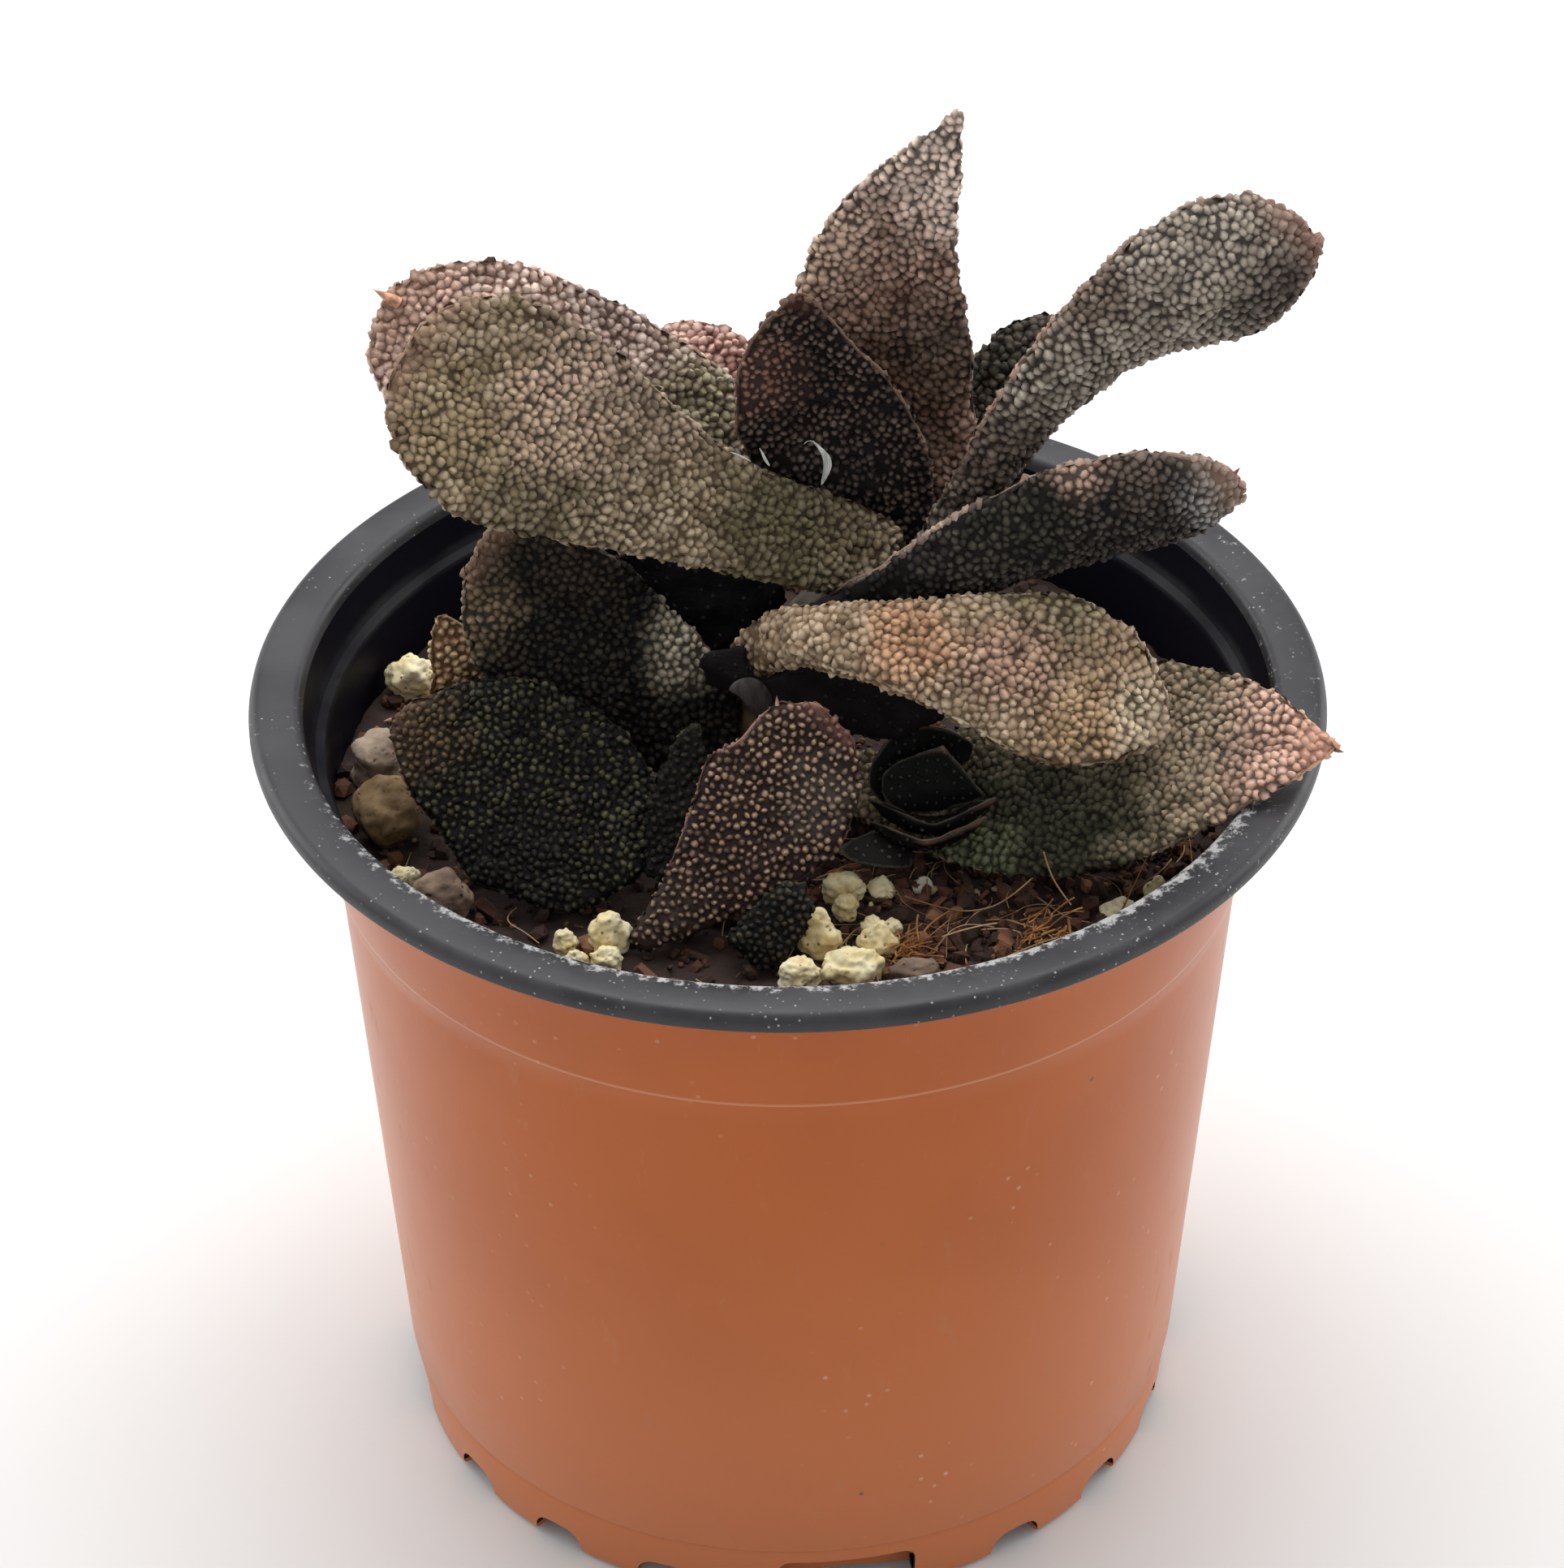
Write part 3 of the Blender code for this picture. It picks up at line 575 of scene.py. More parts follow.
chip = primitive("cube", size=1)
chip.scale = (1, 0.34, 0.14)
bpy.ops.object.transform_apply(scale=True)
edit(chip)
bpy.ops.mesh.bevel(offset=0.06, segments=1)
bpy.ops.transform.vertex_random(offset=0.09, seed=3)
leave_edit()
flakes = []
for _ in range(CHIPS):
    x, y = spot(47 * MM)
    length = (1.1 + 3.6 * chance.random() ** 2.2) * MM
    girth = length * chance.uniform(0.5, 1.3)
    flakes.append(lying(x, y, 0.5 * MM, (length, girth, girth * 1.7), 0.5))
strew("bark_chips", chip, flakes, "growing_mix",
      mix_finish("bark_brown", (62, 42, 34), (112, 72, 52), (170, 114, 72)))

grain = rough_grain(0.8, 1.2)
specks = []
for _ in range(GRIT):
    x, y = spot(front=0.2)
    size = chance.uniform(0.25, 0.6) * MM
    specks.append(lying(x, y, 0.7 * MM, (size, size * 0.8, size * 0.7), 1.5))
strew("pale_grit", grain, specks, "pumice",
      mix_finish("grit_cream", (165, 150, 112), (205, 192, 150), (225, 214, 180)))


def strand(points, girth):
    """A fine round fibre along a smooth curve through a few points."""
    curve = bpy.data.curves.new("strand", 'CURVE')
    curve.dimensions = '3D'
    curve.bevel_depth = girth
    curve.bevel_resolution = 0
    curve.resolution_u = 5
    curve.use_fill_caps = True
    line = curve.splines.new('NURBS')
    line.points.add(len(points) - 1)
    for knot, point in zip(line.points, points):
        knot.co = (*point, 1)
    line.order_u = 3
    line.use_endpoint_u = True
    return placed("strand", curve)


def joined(name, parts):
    """Curves and meshes made one mesh, under one name."""
    select_only(*parts)
    bpy.ops.object.convert(target='MESH')
    bpy.ops.object.join()
    bpy.context.object.name = name
    return bpy.context.object


def coir(name, roughness, dark, pale, patch, detail, scratch, depth):
    """Dry coconut fibre: two tones in patches, with fine scratches in it."""
    fibre = Finish(name, roughness=roughness)
    hue = fibre.mix(tint(*dark), tint(*pale), fibre.patches(patch, 0.35, 0.65, detail))
    scratches = fibre.bump(fibre.noise(scratch), depth * MM, 0.5)
    return fibre.use(base_color=hue, normal=scratches)


strands = []
for _ in range(FIBRES):
    x, y = spot(46 * MM, 0.5)
    heading = chance.uniform(0, 6.28)
    step = chance.uniform(0.8, 3.0) * MM
    path = []
    lift = chance.uniform(0.6, 2.2) * MM
    for j in range(5):
        if math.hypot(x, y) > 50 * MM:
            break
        path.append((x, y, mix_height(x, y) + lift * (0.4 + 0.6 * math.sin(j * 0.8))))
        heading += chance.gauss(0, 0.5)
        x, y = x + step * math.cos(heading), y + step * math.sin(heading)
    if len(path) > 2:
        strands.append(strand(path, chance.uniform(0.05, 0.11) * MM))
long_fibres = (((12.6, -24.5, 86.0), (16, -25.5, 85.2), (20, -26, 84.8), (24, -25, 85.6),
                (27.5, -22.5, 88)),
               ((30.6, -27.0, 86.6), (29.0, -26.0, 88.4), (28.0, -25.2, 90.6), (27.6, -25.0, 92.2)),
               ((36.0, -27.5, 86.0), (37.4, -26.6, 89.0), (38.6, -26.0, 92.0), (39.6, -25.4, 94.6)),
               ((22.0, -35.0, 85.0), (25, -33.6, 85.6), (28.6, -32.2, 86.2), (31.4, -31.4, 86.2)),
               ((24.0, -36.5, 85.0), (27.2, -34.6, 85.8), (30.8, -32.6, 86.0), (33.0, -31.0, 86.6)),
               ((16.5, -31.0, 85.4), (19.5, -30.0, 86.0), (22.5, -29.4, 86.0)),
               ((19.8, -38.0, 84.8), (22.0, -37.0, 86.2), (24.2, -36.0, 85.6), (26.0, -36.4, 84.6)))
strands += [strand([Vector(p) * MM for p in path], 0.12 * MM) for path in long_fibres]
fibres = joined("coir_fibres", strands)
dress(fibres.data, coir("coir_straw", 0.7, (120, 84, 54), (196, 164, 122), 90, 2.0, 1800, 0.05))
rides(fibres, "growing_mix")

tufts = []
for centre, spread, count in (((12.8, -33.5, 85.3), 2.2, 60), ((26.9, -33.0, 85.2), 4.2, 90),
                              ((35.0, -30.5, 85.0), 2.0, 24)):
    for _ in range(count):
        start = Vector(centre) + Vector([chance.gauss(0, spread * 0.42) for _ in range(3)])
        aim = Vector((chance.gauss(0.6, 0.6), chance.gauss(0.3, 0.5), chance.gauss(0.1, 0.35)))
        length = chance.uniform(1.2, 3.0)
        bow = Vector([chance.gauss(0, 0.4) for _ in range(3)])
        line = [start, start + aim * length * 0.5 + bow, start + aim * length]
        for p in line:
            p.z = max(p.z, 83.2)
        tufts.append(strand([p * MM for p in line], chance.uniform(0.07, 0.16) * MM))
husk = joined("fibre_tufts", tufts)
dress(husk.data, coir("coir_ochre", 0.75, (120, 72, 34), (186, 130, 68), 220, 3.0, 1500, 0.06))
rides(husk, "growing_mix")


# Stones: cream pumice with small dark pores, and grey and tan lava pieces, pressed into the mix.
# Each has knobs and pits worked into its surface, and its pits are darkened with painted shade.
PIT_REACH = 0.3
MERGE_GAP = 0.01 * MM


def stone_finish(name, body, light, pore_and_pit_shade, grain):
    """Dusty stone in two tones, with dark pores, painted shade in its worked pits, and a grain this many
    millimetres deep.
    """
    stone = Finish(name, roughness=0.9)
    hue = stone.mix(tint(*body), tint(*light), stone.patches(260, 0.35, 0.65, 4.0))
    pit = stone.step(stone.cells(800), 0.2, 0.1) * stone.patches(300, 0.46, 0.56, 2.0)
    # Painted shade: the worked pits take the dark pore colour.
    pit_shade = stone.step(stone.attribute("pit"), 0.25, 0.9)
    hue = stone.mix(hue, tint(*pore_and_pit_shade), stone.largest(pit, pit_shade) * 0.85)
    dust = stone.patches(900, 0.4, 0.75)
    hue = stone.multiply(hue, tint(170, 145, 110), dust * 0.2)
    relief = stone.noise(700, 4.0) - pit * 0.6
    return stone.use(base_color=hue, normal=stone.bump(relief, grain * MM, 0.8))


def rough_stone(node, slot, finish, knobs, pits, seed, grow=1.1):
    """A stone's solid worked over: evened, a little swollen, then knobbed and pitted."""
    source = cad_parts[node].data
    stone = placed(node + "_rough", source.copy())
    low, high = [Vector(corner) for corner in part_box(node)]
    size = max(high - low)
    middle = (low + high) / 2
    edit(stone)
    bpy.ops.mesh.remove_doubles(threshold=MERGE_GAP)
    leave_edit()
    modify(stone, "even", 'REMESH', mode='VOXEL', voxel_size=max(size / 30, 0.11 * MM))
    modify(stone, "settle", 'SMOOTH', iterations=4)
    apply_all(stone)
    marks = []
    shift = Vector((seed * 3.1, seed * 1.7, seed * 2.3))
    grain = 1 / (size * 0.27)
    moved = []
    for vert in stone.data.vertices:
        lump = noise.noise(vert.co * grain + shift) + 0.5 * noise.noise(vert.co * grain * 2.3 + shift)
        cell = noise.voronoi(vert.co * grain * 2.6 + shift)[0][0]
        porous = noise.noise(vert.co * grain + shift * 2) > -0.1
        pit = max(0.0, 1 - cell / PIT_REACH) if porous else 0.0
        marks.append(pit)
        swollen = middle + (vert.co - middle) * grow
        moved.append(swollen + vert.normal * size * (lump * knobs - pit * pits))
    for vert, place in zip(stone.data.vertices, moved):
        vert.co = place
    stone.data.attributes.new("pit", 'FLOAT', 'POINT').data.foreach_set("value", marks)
    dress(stone.data, finish)
    smooth(stone)
    rides(stone, slot, node)


cream = stone_finish("pumice_cream", (238, 218, 162), (250, 240, 202), (104, 82, 50), 0.2)
pale = stone_finish("pumice_pale", (224, 218, 206), (242, 239, 231), (92, 84, 76), 0.2)
grey = stone_finish("lava_grey", (116, 96, 84), (156, 134, 114), (34, 26, 22), 0.3)
ash = stone_finish("lava_ash", (142, 124, 108), (180, 162, 142), (38, 28, 22), 0.3)
tan = stone_finish("lava_tan", (104, 82, 54), (138, 114, 80), (46, 32, 20), 0.3)
for index, name in enumerate(sorted(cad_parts)):
    if name == "pumice_pale":
        rough_stone(name, "pumice", pale, 0.1, 0.06, index)
    elif name.startswith("pumice"):
        rough_stone(name, "pumice", cream, 0.11, 0.07, index, 1.14)
    elif name == "lava_left_low":
        rough_stone(name, "lava_tan", tan, 0.06, 0.05, index)
    elif name.startswith("lava"):
        rough_stone(name, "lava_grey", ash if name == "lava_left_high" else grey, 0.06, 0.06, index)


# Stems: the short fleshy stems of the main plant and the offset, ringed by the scars of old leaves.
# They are rooted in the mix and mostly hidden by the leaf bases that grow from them.
stem = Finish("stem_flesh", roughness=0.6)
rings = stem.noise(1.0, 3.0, 0.5, stem.stretched(90, 90, 500))
flesh = stem.mix(tint(62, 50, 34), tint(104, 88, 56), stem.step(rings, 0.35, 0.65))
flesh = stem.use(base_color=flesh, normal=stem.bump(rings, 0.4 * MM, 0.5))
for name in ("main_stem", "offset_stem"):
    dress(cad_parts[name].data, flesh)


# Leaves: thick fleshy tongues that grow from the stem in two ranks, crowded with small pearly warts.
# The margins are a fine beaded cord, and most leaves end in a short horny point.
SHARP_ANGLE = 1.1
MARGIN_HOLD = 0.85
TIP_HOLD = 1.6 * MM
BASE_FADE = 0.16
RIM_FADE = 0.35
WRINKLE = 0.7
CORD_START = 0.25
WART = ((0.62, -0.14), (0.45, 0.13), (0.2, 0.4))
WART_CROWDING = 1.6e7
WART_LEAN = 0.35
WART_LEAST = (0.7, 0.66, 0.55)
WART_MOST = (1.28, 1.18, 1.45)
POINT = ((0.5, -0.4), (0.44, 0.2), (0.3, 0.8), (0.14, 1.3), (0.05, 1.6))


def grown(name, outline, sides):
    """A small horny knob drawn up ring by ring, closed at the top and open underneath."""
    knob = primitive("circle", vertices=sides, radius=outline[0][0])
    knob.name = name
    knob.location.z = outline[0][1]
    bpy.ops.object.transform_apply(location=True)
    edit(knob)
    for (wide, low), (narrow, high) in zip(outline, outline[1:]):
        bpy.ops.mesh.extrude_edges_move(TRANSFORM_OT_translate={"value": (0, 0, high - low)})
        taper = narrow / wide
        bpy.ops.transform.resize(value=(taper, taper, 1), center_override=(0, 0, high))
    bpy.ops.mesh.extrude_edges_move(TRANSFORM_OT_translate={"value": (0, 0, outline[-1][1] * 0.2)})
    bpy.ops.mesh.merge(type='CENTER')
    bpy.ops.mesh.select_all(action='SELECT')
    bpy.ops.mesh.normals_make_consistent(inside=False)
    leave_edit()
    smooth(knob)
    return knob


def wart_field(wart):
    """Node group that scatters warts over a leaf where its "warty" attribute allows."""
    group = bpy.data.node_groups.new("wart_field", 'GeometryNodeTree')
    for name, kind in (("Leaf", "Geometry"), ("Spacing", "Float"), ("Size", "Float"),
                       ("Height", "Float"), ("Seed", "Int")):
        group.interface.new_socket(name, in_out='INPUT', socket_type="NodeSocket" + kind)
    group.interface.new_socket("Leaf", in_out='OUTPUT', socket_type='NodeSocketGeometry')

    def add(kind, sockets, **settings):
        """Adds one node: its settings first, then a value or a link for each socket."""
        node = group.nodes.new(kind)
        for key, value in settings.items():
            setattr(node, key, value)
        for key, value in sockets:
            if isinstance(value, bpy.types.NodeSocket):
                group.links.new(value, node.inputs[key])
            else:
                node.inputs[key].default_value = value
        return node.outputs

    source = add("NodeGroupInput", ())
    warty = add("GeometryNodeInputNamedAttribute", [("Name", "warty")], data_type='FLOAT')
    swell = add("GeometryNodeInputNamedAttribute", [("Name", "swell")], data_type='FLOAT')
    scatter = add("GeometryNodeDistributePointsOnFaces",
                  [("Mesh", source["Leaf"]), ("Distance Min", source["Spacing"]),
                   ("Density Max", WART_CROWDING), ("Density Factor", warty["Attribute"]),
                   ("Seed", source["Seed"])], distribute_method='POISSON')
    model = add("GeometryNodeObjectInfo", [("Object", wart)])
    lean = add("FunctionNodeRandomValue",
               [(0, (-WART_LEAN, -WART_LEAN, 0)), (1, (WART_LEAN, WART_LEAN, 6.28))],
               data_type='FLOAT_VECTOR')
    spin = add("FunctionNodeEulerToRotation", [("Euler", lean[0])])
    turn = add("FunctionNodeRotateRotation",
               [("Rotation", scatter["Rotation"]), ("Rotate By", spin["Rotation"])],
               rotation_space='LOCAL')
    vary = add("FunctionNodeRandomValue", [(0, WART_LEAST), (1, WART_MOST), ("Seed", 4)],
               data_type='FLOAT_VECTOR')
    bulk = add("ShaderNodeCombineXYZ",
               [(0, source["Size"]), (1, source["Size"]), (2, source["Height"])])
    scale = add("ShaderNodeVectorMath", [(0, vary[0]), (1, bulk[0])], operation='MULTIPLY')
    grow = add("ShaderNodeVectorMath", [(0, scale[0]), ("Scale", swell["Attribute"])],
               operation='SCALE')
    place = add("GeometryNodeInstanceOnPoints",
                [("Points", scatter["Points"]), ("Instance", model["Geometry"]),
                 ("Rotation", turn["Rotation"]), ("Scale", grow[0])])
    tone = add("FunctionNodeRandomValue", [("Seed", 9)], data_type='FLOAT')
    mark = add("GeometryNodeStoreNamedAttribute",
               [("Geometry", place["Instances"]), ("Name", "tone"), ("Value", tone[1])],
               data_type='FLOAT', domain='INSTANCE')
    real = add("GeometryNodeRealizeInstances", [("Geometry", mark["Geometry"])])
    join = add("GeometryNodeJoinGeometry",
               [("Geometry", real["Geometry"]), ("Geometry", source["Leaf"])])
    add("NodeGroupOutput", [("Leaf", join["Geometry"])])
    return group


def sharp_edges(shape):
    """The sharp edges of a leaf, which run down both margins to the tip."""
    return [edge for edge in shape.edges if edge.is_manifold and edge.calc_face_angle() > SHARP_ANGLE]


def margin_rows(mesh, gap):
    """Rows of points along each sharp edge of a leaf, no further apart than the gap."""
    shape = bmesh.new()
    shape.from_mesh(mesh)
    rows = []
    for edge in sharp_edges(shape):
        a, b = [v.co.copy() for v in edge.verts]
        steps = max(1, int((a - b).length / gap))
        rows.append([a.lerp(b, k / steps) for k in range(steps + 1)])
    shape.free()
    return rows


def margin_points(mesh):
    """A search tree of points along a leaf's margins."""
    points = [point for row in margin_rows(mesh, 0.4 * MM) for point in row]
    tree = kdtree.KDTree(len(points))
    for index, point in enumerate(points):
        tree.insert(point, index)
    tree.balance()
    return tree


def crease_margins(mesh, tip):
    """Keeps the margins and the tip firm when the leaf is subdivided."""
    shape = bmesh.new()
    shape.from_mesh(mesh)
    crease = shape.edges.layers.float.new("crease_edge")
    corner = shape.verts.layers.float.new("crease_vert")
    for edge in sharp_edges(shape):
        edge[crease] = MARGIN_HOLD
    for vert in shape.verts:
        if tip and (vert.co - Vector(tip) * MM).length < TIP_HOLD:
            vert[corner] = 1
    shape.to_mesh(mesh)
    shape.free()


def margin_cord(piece, mesh, root, girth):
    """A fine beaded cord laid on the body wherever the leaf's solid has its margins."""
    root = Vector(root) * MM
    start = CORD_START * max((v.co - root).length for v in mesh.vertices)
    wire = bmesh.new()
    knots = {}
    for row in margin_rows(mesh, 0.5 * MM):
        if ((row[0] + row[-1]) / 2 - root).length < start:
            continue
        for place in row:
            key = tuple(round(c, 6) for c in place)
            if key not in knots:
                knots[key] = wire.verts.new(piece.closest_point_on_mesh(place)[1])
        run = [knots[tuple(round(c, 6) for c in place)] for place in row]
        for one, two in zip(run, run[1:]):
            wire.edges.new((one, two))
    bmesh.ops.smooth_vert(wire, verts=wire.verts, factor=0.5, use_axis_x=True, use_axis_y=True,
                          use_axis_z=True)
    line = bpy.data.meshes.new("cord")
    wire.to_mesh(line)
    wire.free()
    cord = placed("cord", line)
    select_only(cord)
    bpy.ops.object.convert(target='CURVE')
    cord = bpy.context.object
    cord.data.bevel_depth = girth
    cord.data.bevel_resolution = 1
    cord.data.use_fill_caps = True
    for spline in cord.data.splines:
        for knot in spline.points:
            knot.radius = 0.9 + 0.9 * noise.noise(knot.co.xyz * 900)
    bpy.ops.object.convert(target='MESH')
    return bpy.context.object


def fold(place):
    """Soft creases and swellings of the flesh, a few millimetres wide, from about -1 to 1."""
    return noise.noise(place * 330) + 0.6 * noise.noise(place * 720)


def leaf_body(node, voxel, root, tip, girth):
    """A smooth, lightly wrinkled copy of a leaf's solid, with its margins kept firm and corded."""
    piece = placed(node + "_flesh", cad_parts[node].data.copy())
    piece.data.materials.clear()
    edit(piece)
    bpy.ops.mesh.remove_doubles(threshold=MERGE_GAP)
    bpy.ops.mesh.tris_convert_to_quads(face_threshold=0.9, shape_threshold=0.9)
    bpy.ops.mesh.customdata_custom_splitnormals_clear()
    leave_edit()
    solid = piece.data.copy()
    margins = margin_points(solid)
    crease_margins(piece.data, tip)
    modify(piece, "round_off", 'SUBSURF', levels=2, render_levels=2)
    modify(piece, "even", 'REMESH', mode='VOXEL', voxel_size=voxel)
    modify(piece, "settle", 'SMOOTH', iterations=4, factor=0.5)
    apply_all(piece)
    wrinkled = [v.co + v.normal * fold(v.co) * WRINKLE * voxel for v in piece.data.vertices]
    for vert, place in zip(piece.data.vertices, wrinkled):
        vert.co = place
    if girth:
        cord = margin_cord(piece, solid, root, girth)
        select_only(piece, cord)
        bpy.ops.object.join()
    bpy.data.meshes.remove(solid)
    return piece, margins


def measure_leaf(piece, margins, root, bare_rim, bare_base, sparse):
    """Stores how far each point is from the margin, base and tip, and where warts may grow."""
    points = piece.data.vertices
    root = Vector(root) * MM
    reach = max((v.co - root).length for v in points)
    near = min((v.co - root).length for v in points)
    measures = {name: [] for name in ("rim", "along", "warty", "swell", "fold")}
    for vert in points:
        rim = margins.find(vert.co)[2] / MM
        along = ((vert.co - root).length - near) / (reach - near)
        bare = noise.noise(vert.co * 260) * 0.12
        base_fade = min(max((along + bare - bare_base) / BASE_FADE, 0), 1)
        rim_fade = 1 if rim < RIM_FADE else min(max((rim - bare_rim) / RIM_FADE, 0), 1)
        patch = 1 - sparse * (0.5 + 0.5 * noise.noise(vert.co * 420))
        measures["rim"].append(rim)
        measures["along"].append(along)
        measures["warty"].append(base_fade * rim_fade * patch)
        measures["swell"].append((0.55 + 0.45 * base_fade) * (0.62 if rim < 0.45 else 1))
        measures["fold"].append(fold(vert.co))
    for name, values in measures.items():
        layer = piece.data.attributes.new(name, 'FLOAT', 'POINT')
        layer.data.foreach_set("value", values)


def leaf_finish(name, ground, warts, margin, tip, bare, washes, rim_width, tip_reach, dots):
    """Dark flesh between the warts, paler warts, and pigment that gathers at margin and tip; the warts
    carry a painted highlight on their tops and painted shade at their feet and in the creases.
    """
    leaf = Finish(name, roughness=0.5, ior=1.25)
    lift, tone = leaf.attribute("lift"), leaf.attribute("tone")
    rim, along, warty = leaf.attribute("rim"), leaf.attribute("along"), leaf.attribute("warty")
    blotch = leaf.patches(75, 0.38, 0.64)
    dull, bright = warts
    valley = leaf.mix(tint(*ground), tint(*[c * 0.8 for c in ground]), blotch)
    pearl = leaf.step(tone * 0.6 + leaf.noise(110, 3.0) * 0.8 - 0.1, 0.25, 0.85)
    pearl = leaf.mix(tint(*dull), tint(*bright), pearl)
    for centre, radius, colour, amount in washes:
        spread = leaf.near(centre, radius) * amount
        pearl = leaf.mix(pearl, tint(*colour), spread)
        valley = leaf.mix(valley, tint(*[c * 0.45 for c in colour]), spread)
    # Painted shade in the creases of the flesh and painted light on its swellings: warts darken where
    # the fold sinks and brighten where it rises.
    crease = leaf.step(leaf.attribute("fold"), 0.2, -0.5)
    pearl = leaf.multiply(pearl, leaf.mix((1.1, 1.1, 1.1), (0.74, 0.74, 0.74), crease), 1.0)
    bald = leaf.step(warty + leaf.noise(240, 2.0) * 0.2 - 0.1, 0.5, 0.1) * leaf.step(rim, 0.2, 1.2)
    valley = leaf.mix(valley, tint(*bare), bald)
    # Wart tops paler than their feet: partly their own pale pigment, partly a painted highlight on the
    # tops and painted shade at the feet and between them.
    wart_tops_pigment_and_highlight = leaf.step(lift, dots, 0.95)
    surface = leaf.mix(valley, pearl, wart_tops_pigment_and_highlight)
    end = leaf.step(along + leaf.noise(60, 2.0) * 0.1 - 0.05, 1 - tip_reach, 1.0)
    surface = leaf.mix(surface, tint(*tip), end * 0.7)
    edge = leaf.step(rim + leaf.noise(300, 2.0) * 0.3 - 0.15, rim_width + 0.2, rim_width * 0.5)
    surface = leaf.mix(surface, tint(*margin), edge * leaf.step(along, 0.15, 0.4) * 0.8)
    rough = 0.56 - wart_tops_pigment_and_highlight * 0.1 + leaf.noise(200) * 0.1
    grain = leaf.noise(2300, 3.0)
    return leaf.use(base_color=surface, roughness=rough, normal=leaf.bump(grain, 0.16 * MM, 0.8))


wart = grown("wart", WART, 6)
lift = wart.data.attributes.new("lift", 'FLOAT', 'POINT')
knobbly = random.Random(5)
for vert in wart.data.vertices:
    lift.data[vert.index].value = max(vert.co.z, 0) * 2.0
    vert.co += Vector([knobbly.uniform(-0.09, 0.09) for _ in range(3)])
scatter_warts = wart_field(wart)


def horny_point(piece, tip, behind, colour, size):
    """The short sharp point that a leaf ends in, set on the leaf and turned to follow it."""
    point = grown("point", POINT, 10)
    aim = Vector(tip) - Vector(behind)
    foot = min((v.co for v in piece.data.vertices), key=lambda co: (co - Vector(tip) * MM).length)
    place = Matrix.Translation(foot - aim.normalized() * size * 0.4 * MM)
    turn = aim.to_track_quat('Z', 'Y').to_matrix().to_4x4()
    point.data.transform(place @ turn @ Matrix.Scale(size * MM, 4))
    horn = Finish("point_horn", roughness=0.4)
    streak = horn.patches(700, 0.4, 0.7)
    hue = horn.mix(tint(*colour), tint(*[c * 0.6 for c in colour]), streak)
    dress(point.data, horn.use(base_color=hue))
    return point


def warty_leaf(node, slot, ground, warts, margin=(170, 145, 120), tip=(150, 120, 100),
               bare=(58, 48, 44), washes=(), rim_width=0.3, tip_reach=0.1, root=(3, 0, 104),
               spacing=0.84, size=1.34, height=1.0, bare_rim=0.0, bare_base=-0.1, sparse=0.0,
               seed=0, voxel=0.64, point=None, cord=0.2, dots=0.0):
    """A finished leaf: its body, warts, margin cord, colours and point, in place of its solid.

    Colours are 0 to 255 as they look, places and sizes are in millimetres, and a wash is a place,
    a radius, a colour and a strength.
    """
    piece, margins = leaf_body(node, voxel * MM, root, point and point[0], cord * MM)
    measure_leaf(piece, margins, root, bare_rim, bare_base, sparse)
    cover = modify(piece, "warts", 'NODES', node_group=scatter_warts)
    settings = {"Spacing": spacing * MM, "Size": size * MM, "Height": height * MM, "Seed": seed}
    for item in scatter_warts.interface.items_tree:
        if item.in_out == 'INPUT' and item.name in settings:
            cover[item.identifier] = settings[item.name]
    apply_all(piece)
    dress(piece.data, leaf_finish(node + "_finish", ground, warts, margin, tip, bare, washes,
                                  rim_width, tip_reach, dots))
    smooth(piece)
    if point:
        horn = horny_point(piece, *point)
        select_only(piece, horn)
        bpy.ops.object.join()
    piece.name = node + "_skin"
    rides(piece, slot, node)


warty_leaf("leaf_left_upper", "leaf_shaded", (108, 90, 68), ((139, 122, 96), (184, 167, 142)),
           margin=(198, 178, 155), bare=(62, 50, 46), seed=1, bare_base=-0.2,
           washes=(((-14, -4, 143), 17, (156, 134, 120), 0.65), ((0, -4, 121), 13, (84, 81, 53), 0.75),
                   ((-35, -9, 137), 11, (172, 150, 110), 0.5), ((-27, -13, 130), 9, (98, 91, 67), 0.5),
                   ((-24, -8, 139), 10, (222, 192, 168), 0.65)))
warty_leaf("leaf_left_rear", "leaf_sunned", (148, 116, 102), ((204, 174, 158), (248, 226, 212)),
           margin=(196, 168, 150), seed=2,
           washes=(((-42, 9, 140), 15, (248, 206, 188), 0.7), ((-9, 12, 126), 10, (133, 135, 97), 0.75),
                   ((-17, 10, 138), 12, (145, 125, 121), 0.5)),
           point=((-42.8, 9, 143.2), (-40.4, 9, 141.6), (236, 176, 140), 1.5))
warty_leaf("leaf_back_left", "leaf_sunned", (128, 84, 74), ((212, 172, 158), (244, 212, 200)),
           margin=(150, 140, 110), seed=3,
           washes=(((-4, 27, 122), 10, (180, 127, 113), 0.5),))
warty_leaf("leaf_back_right", "leaf_shaded", (26, 24, 19), ((55, 53, 43), (88, 80, 69)),
           margin=(130, 120, 98), seed=4, size=1.3, height=0.95)
warty_leaf("leaf_centre_left", "leaf_shaded", (25, 17, 18), ((69, 56, 50), (118, 102, 92)),
           margin=(132, 108, 92), tip=(96, 58, 48), bare=(28, 20, 21), rim_width=0.7, seed=5,
           size=1.0, height=0.8, spacing=0.8, sparse=0.15, dots=0.15,
           washes=(((-4, 2, 136), 8, (172, 128, 110), 0.65), ((6, 4, 122), 9, (92, 83, 79), 0.5)),
           point=((1.8, 1, 148.0), (1.4, 1.6, 145.4), (206, 176, 158), 0.5))
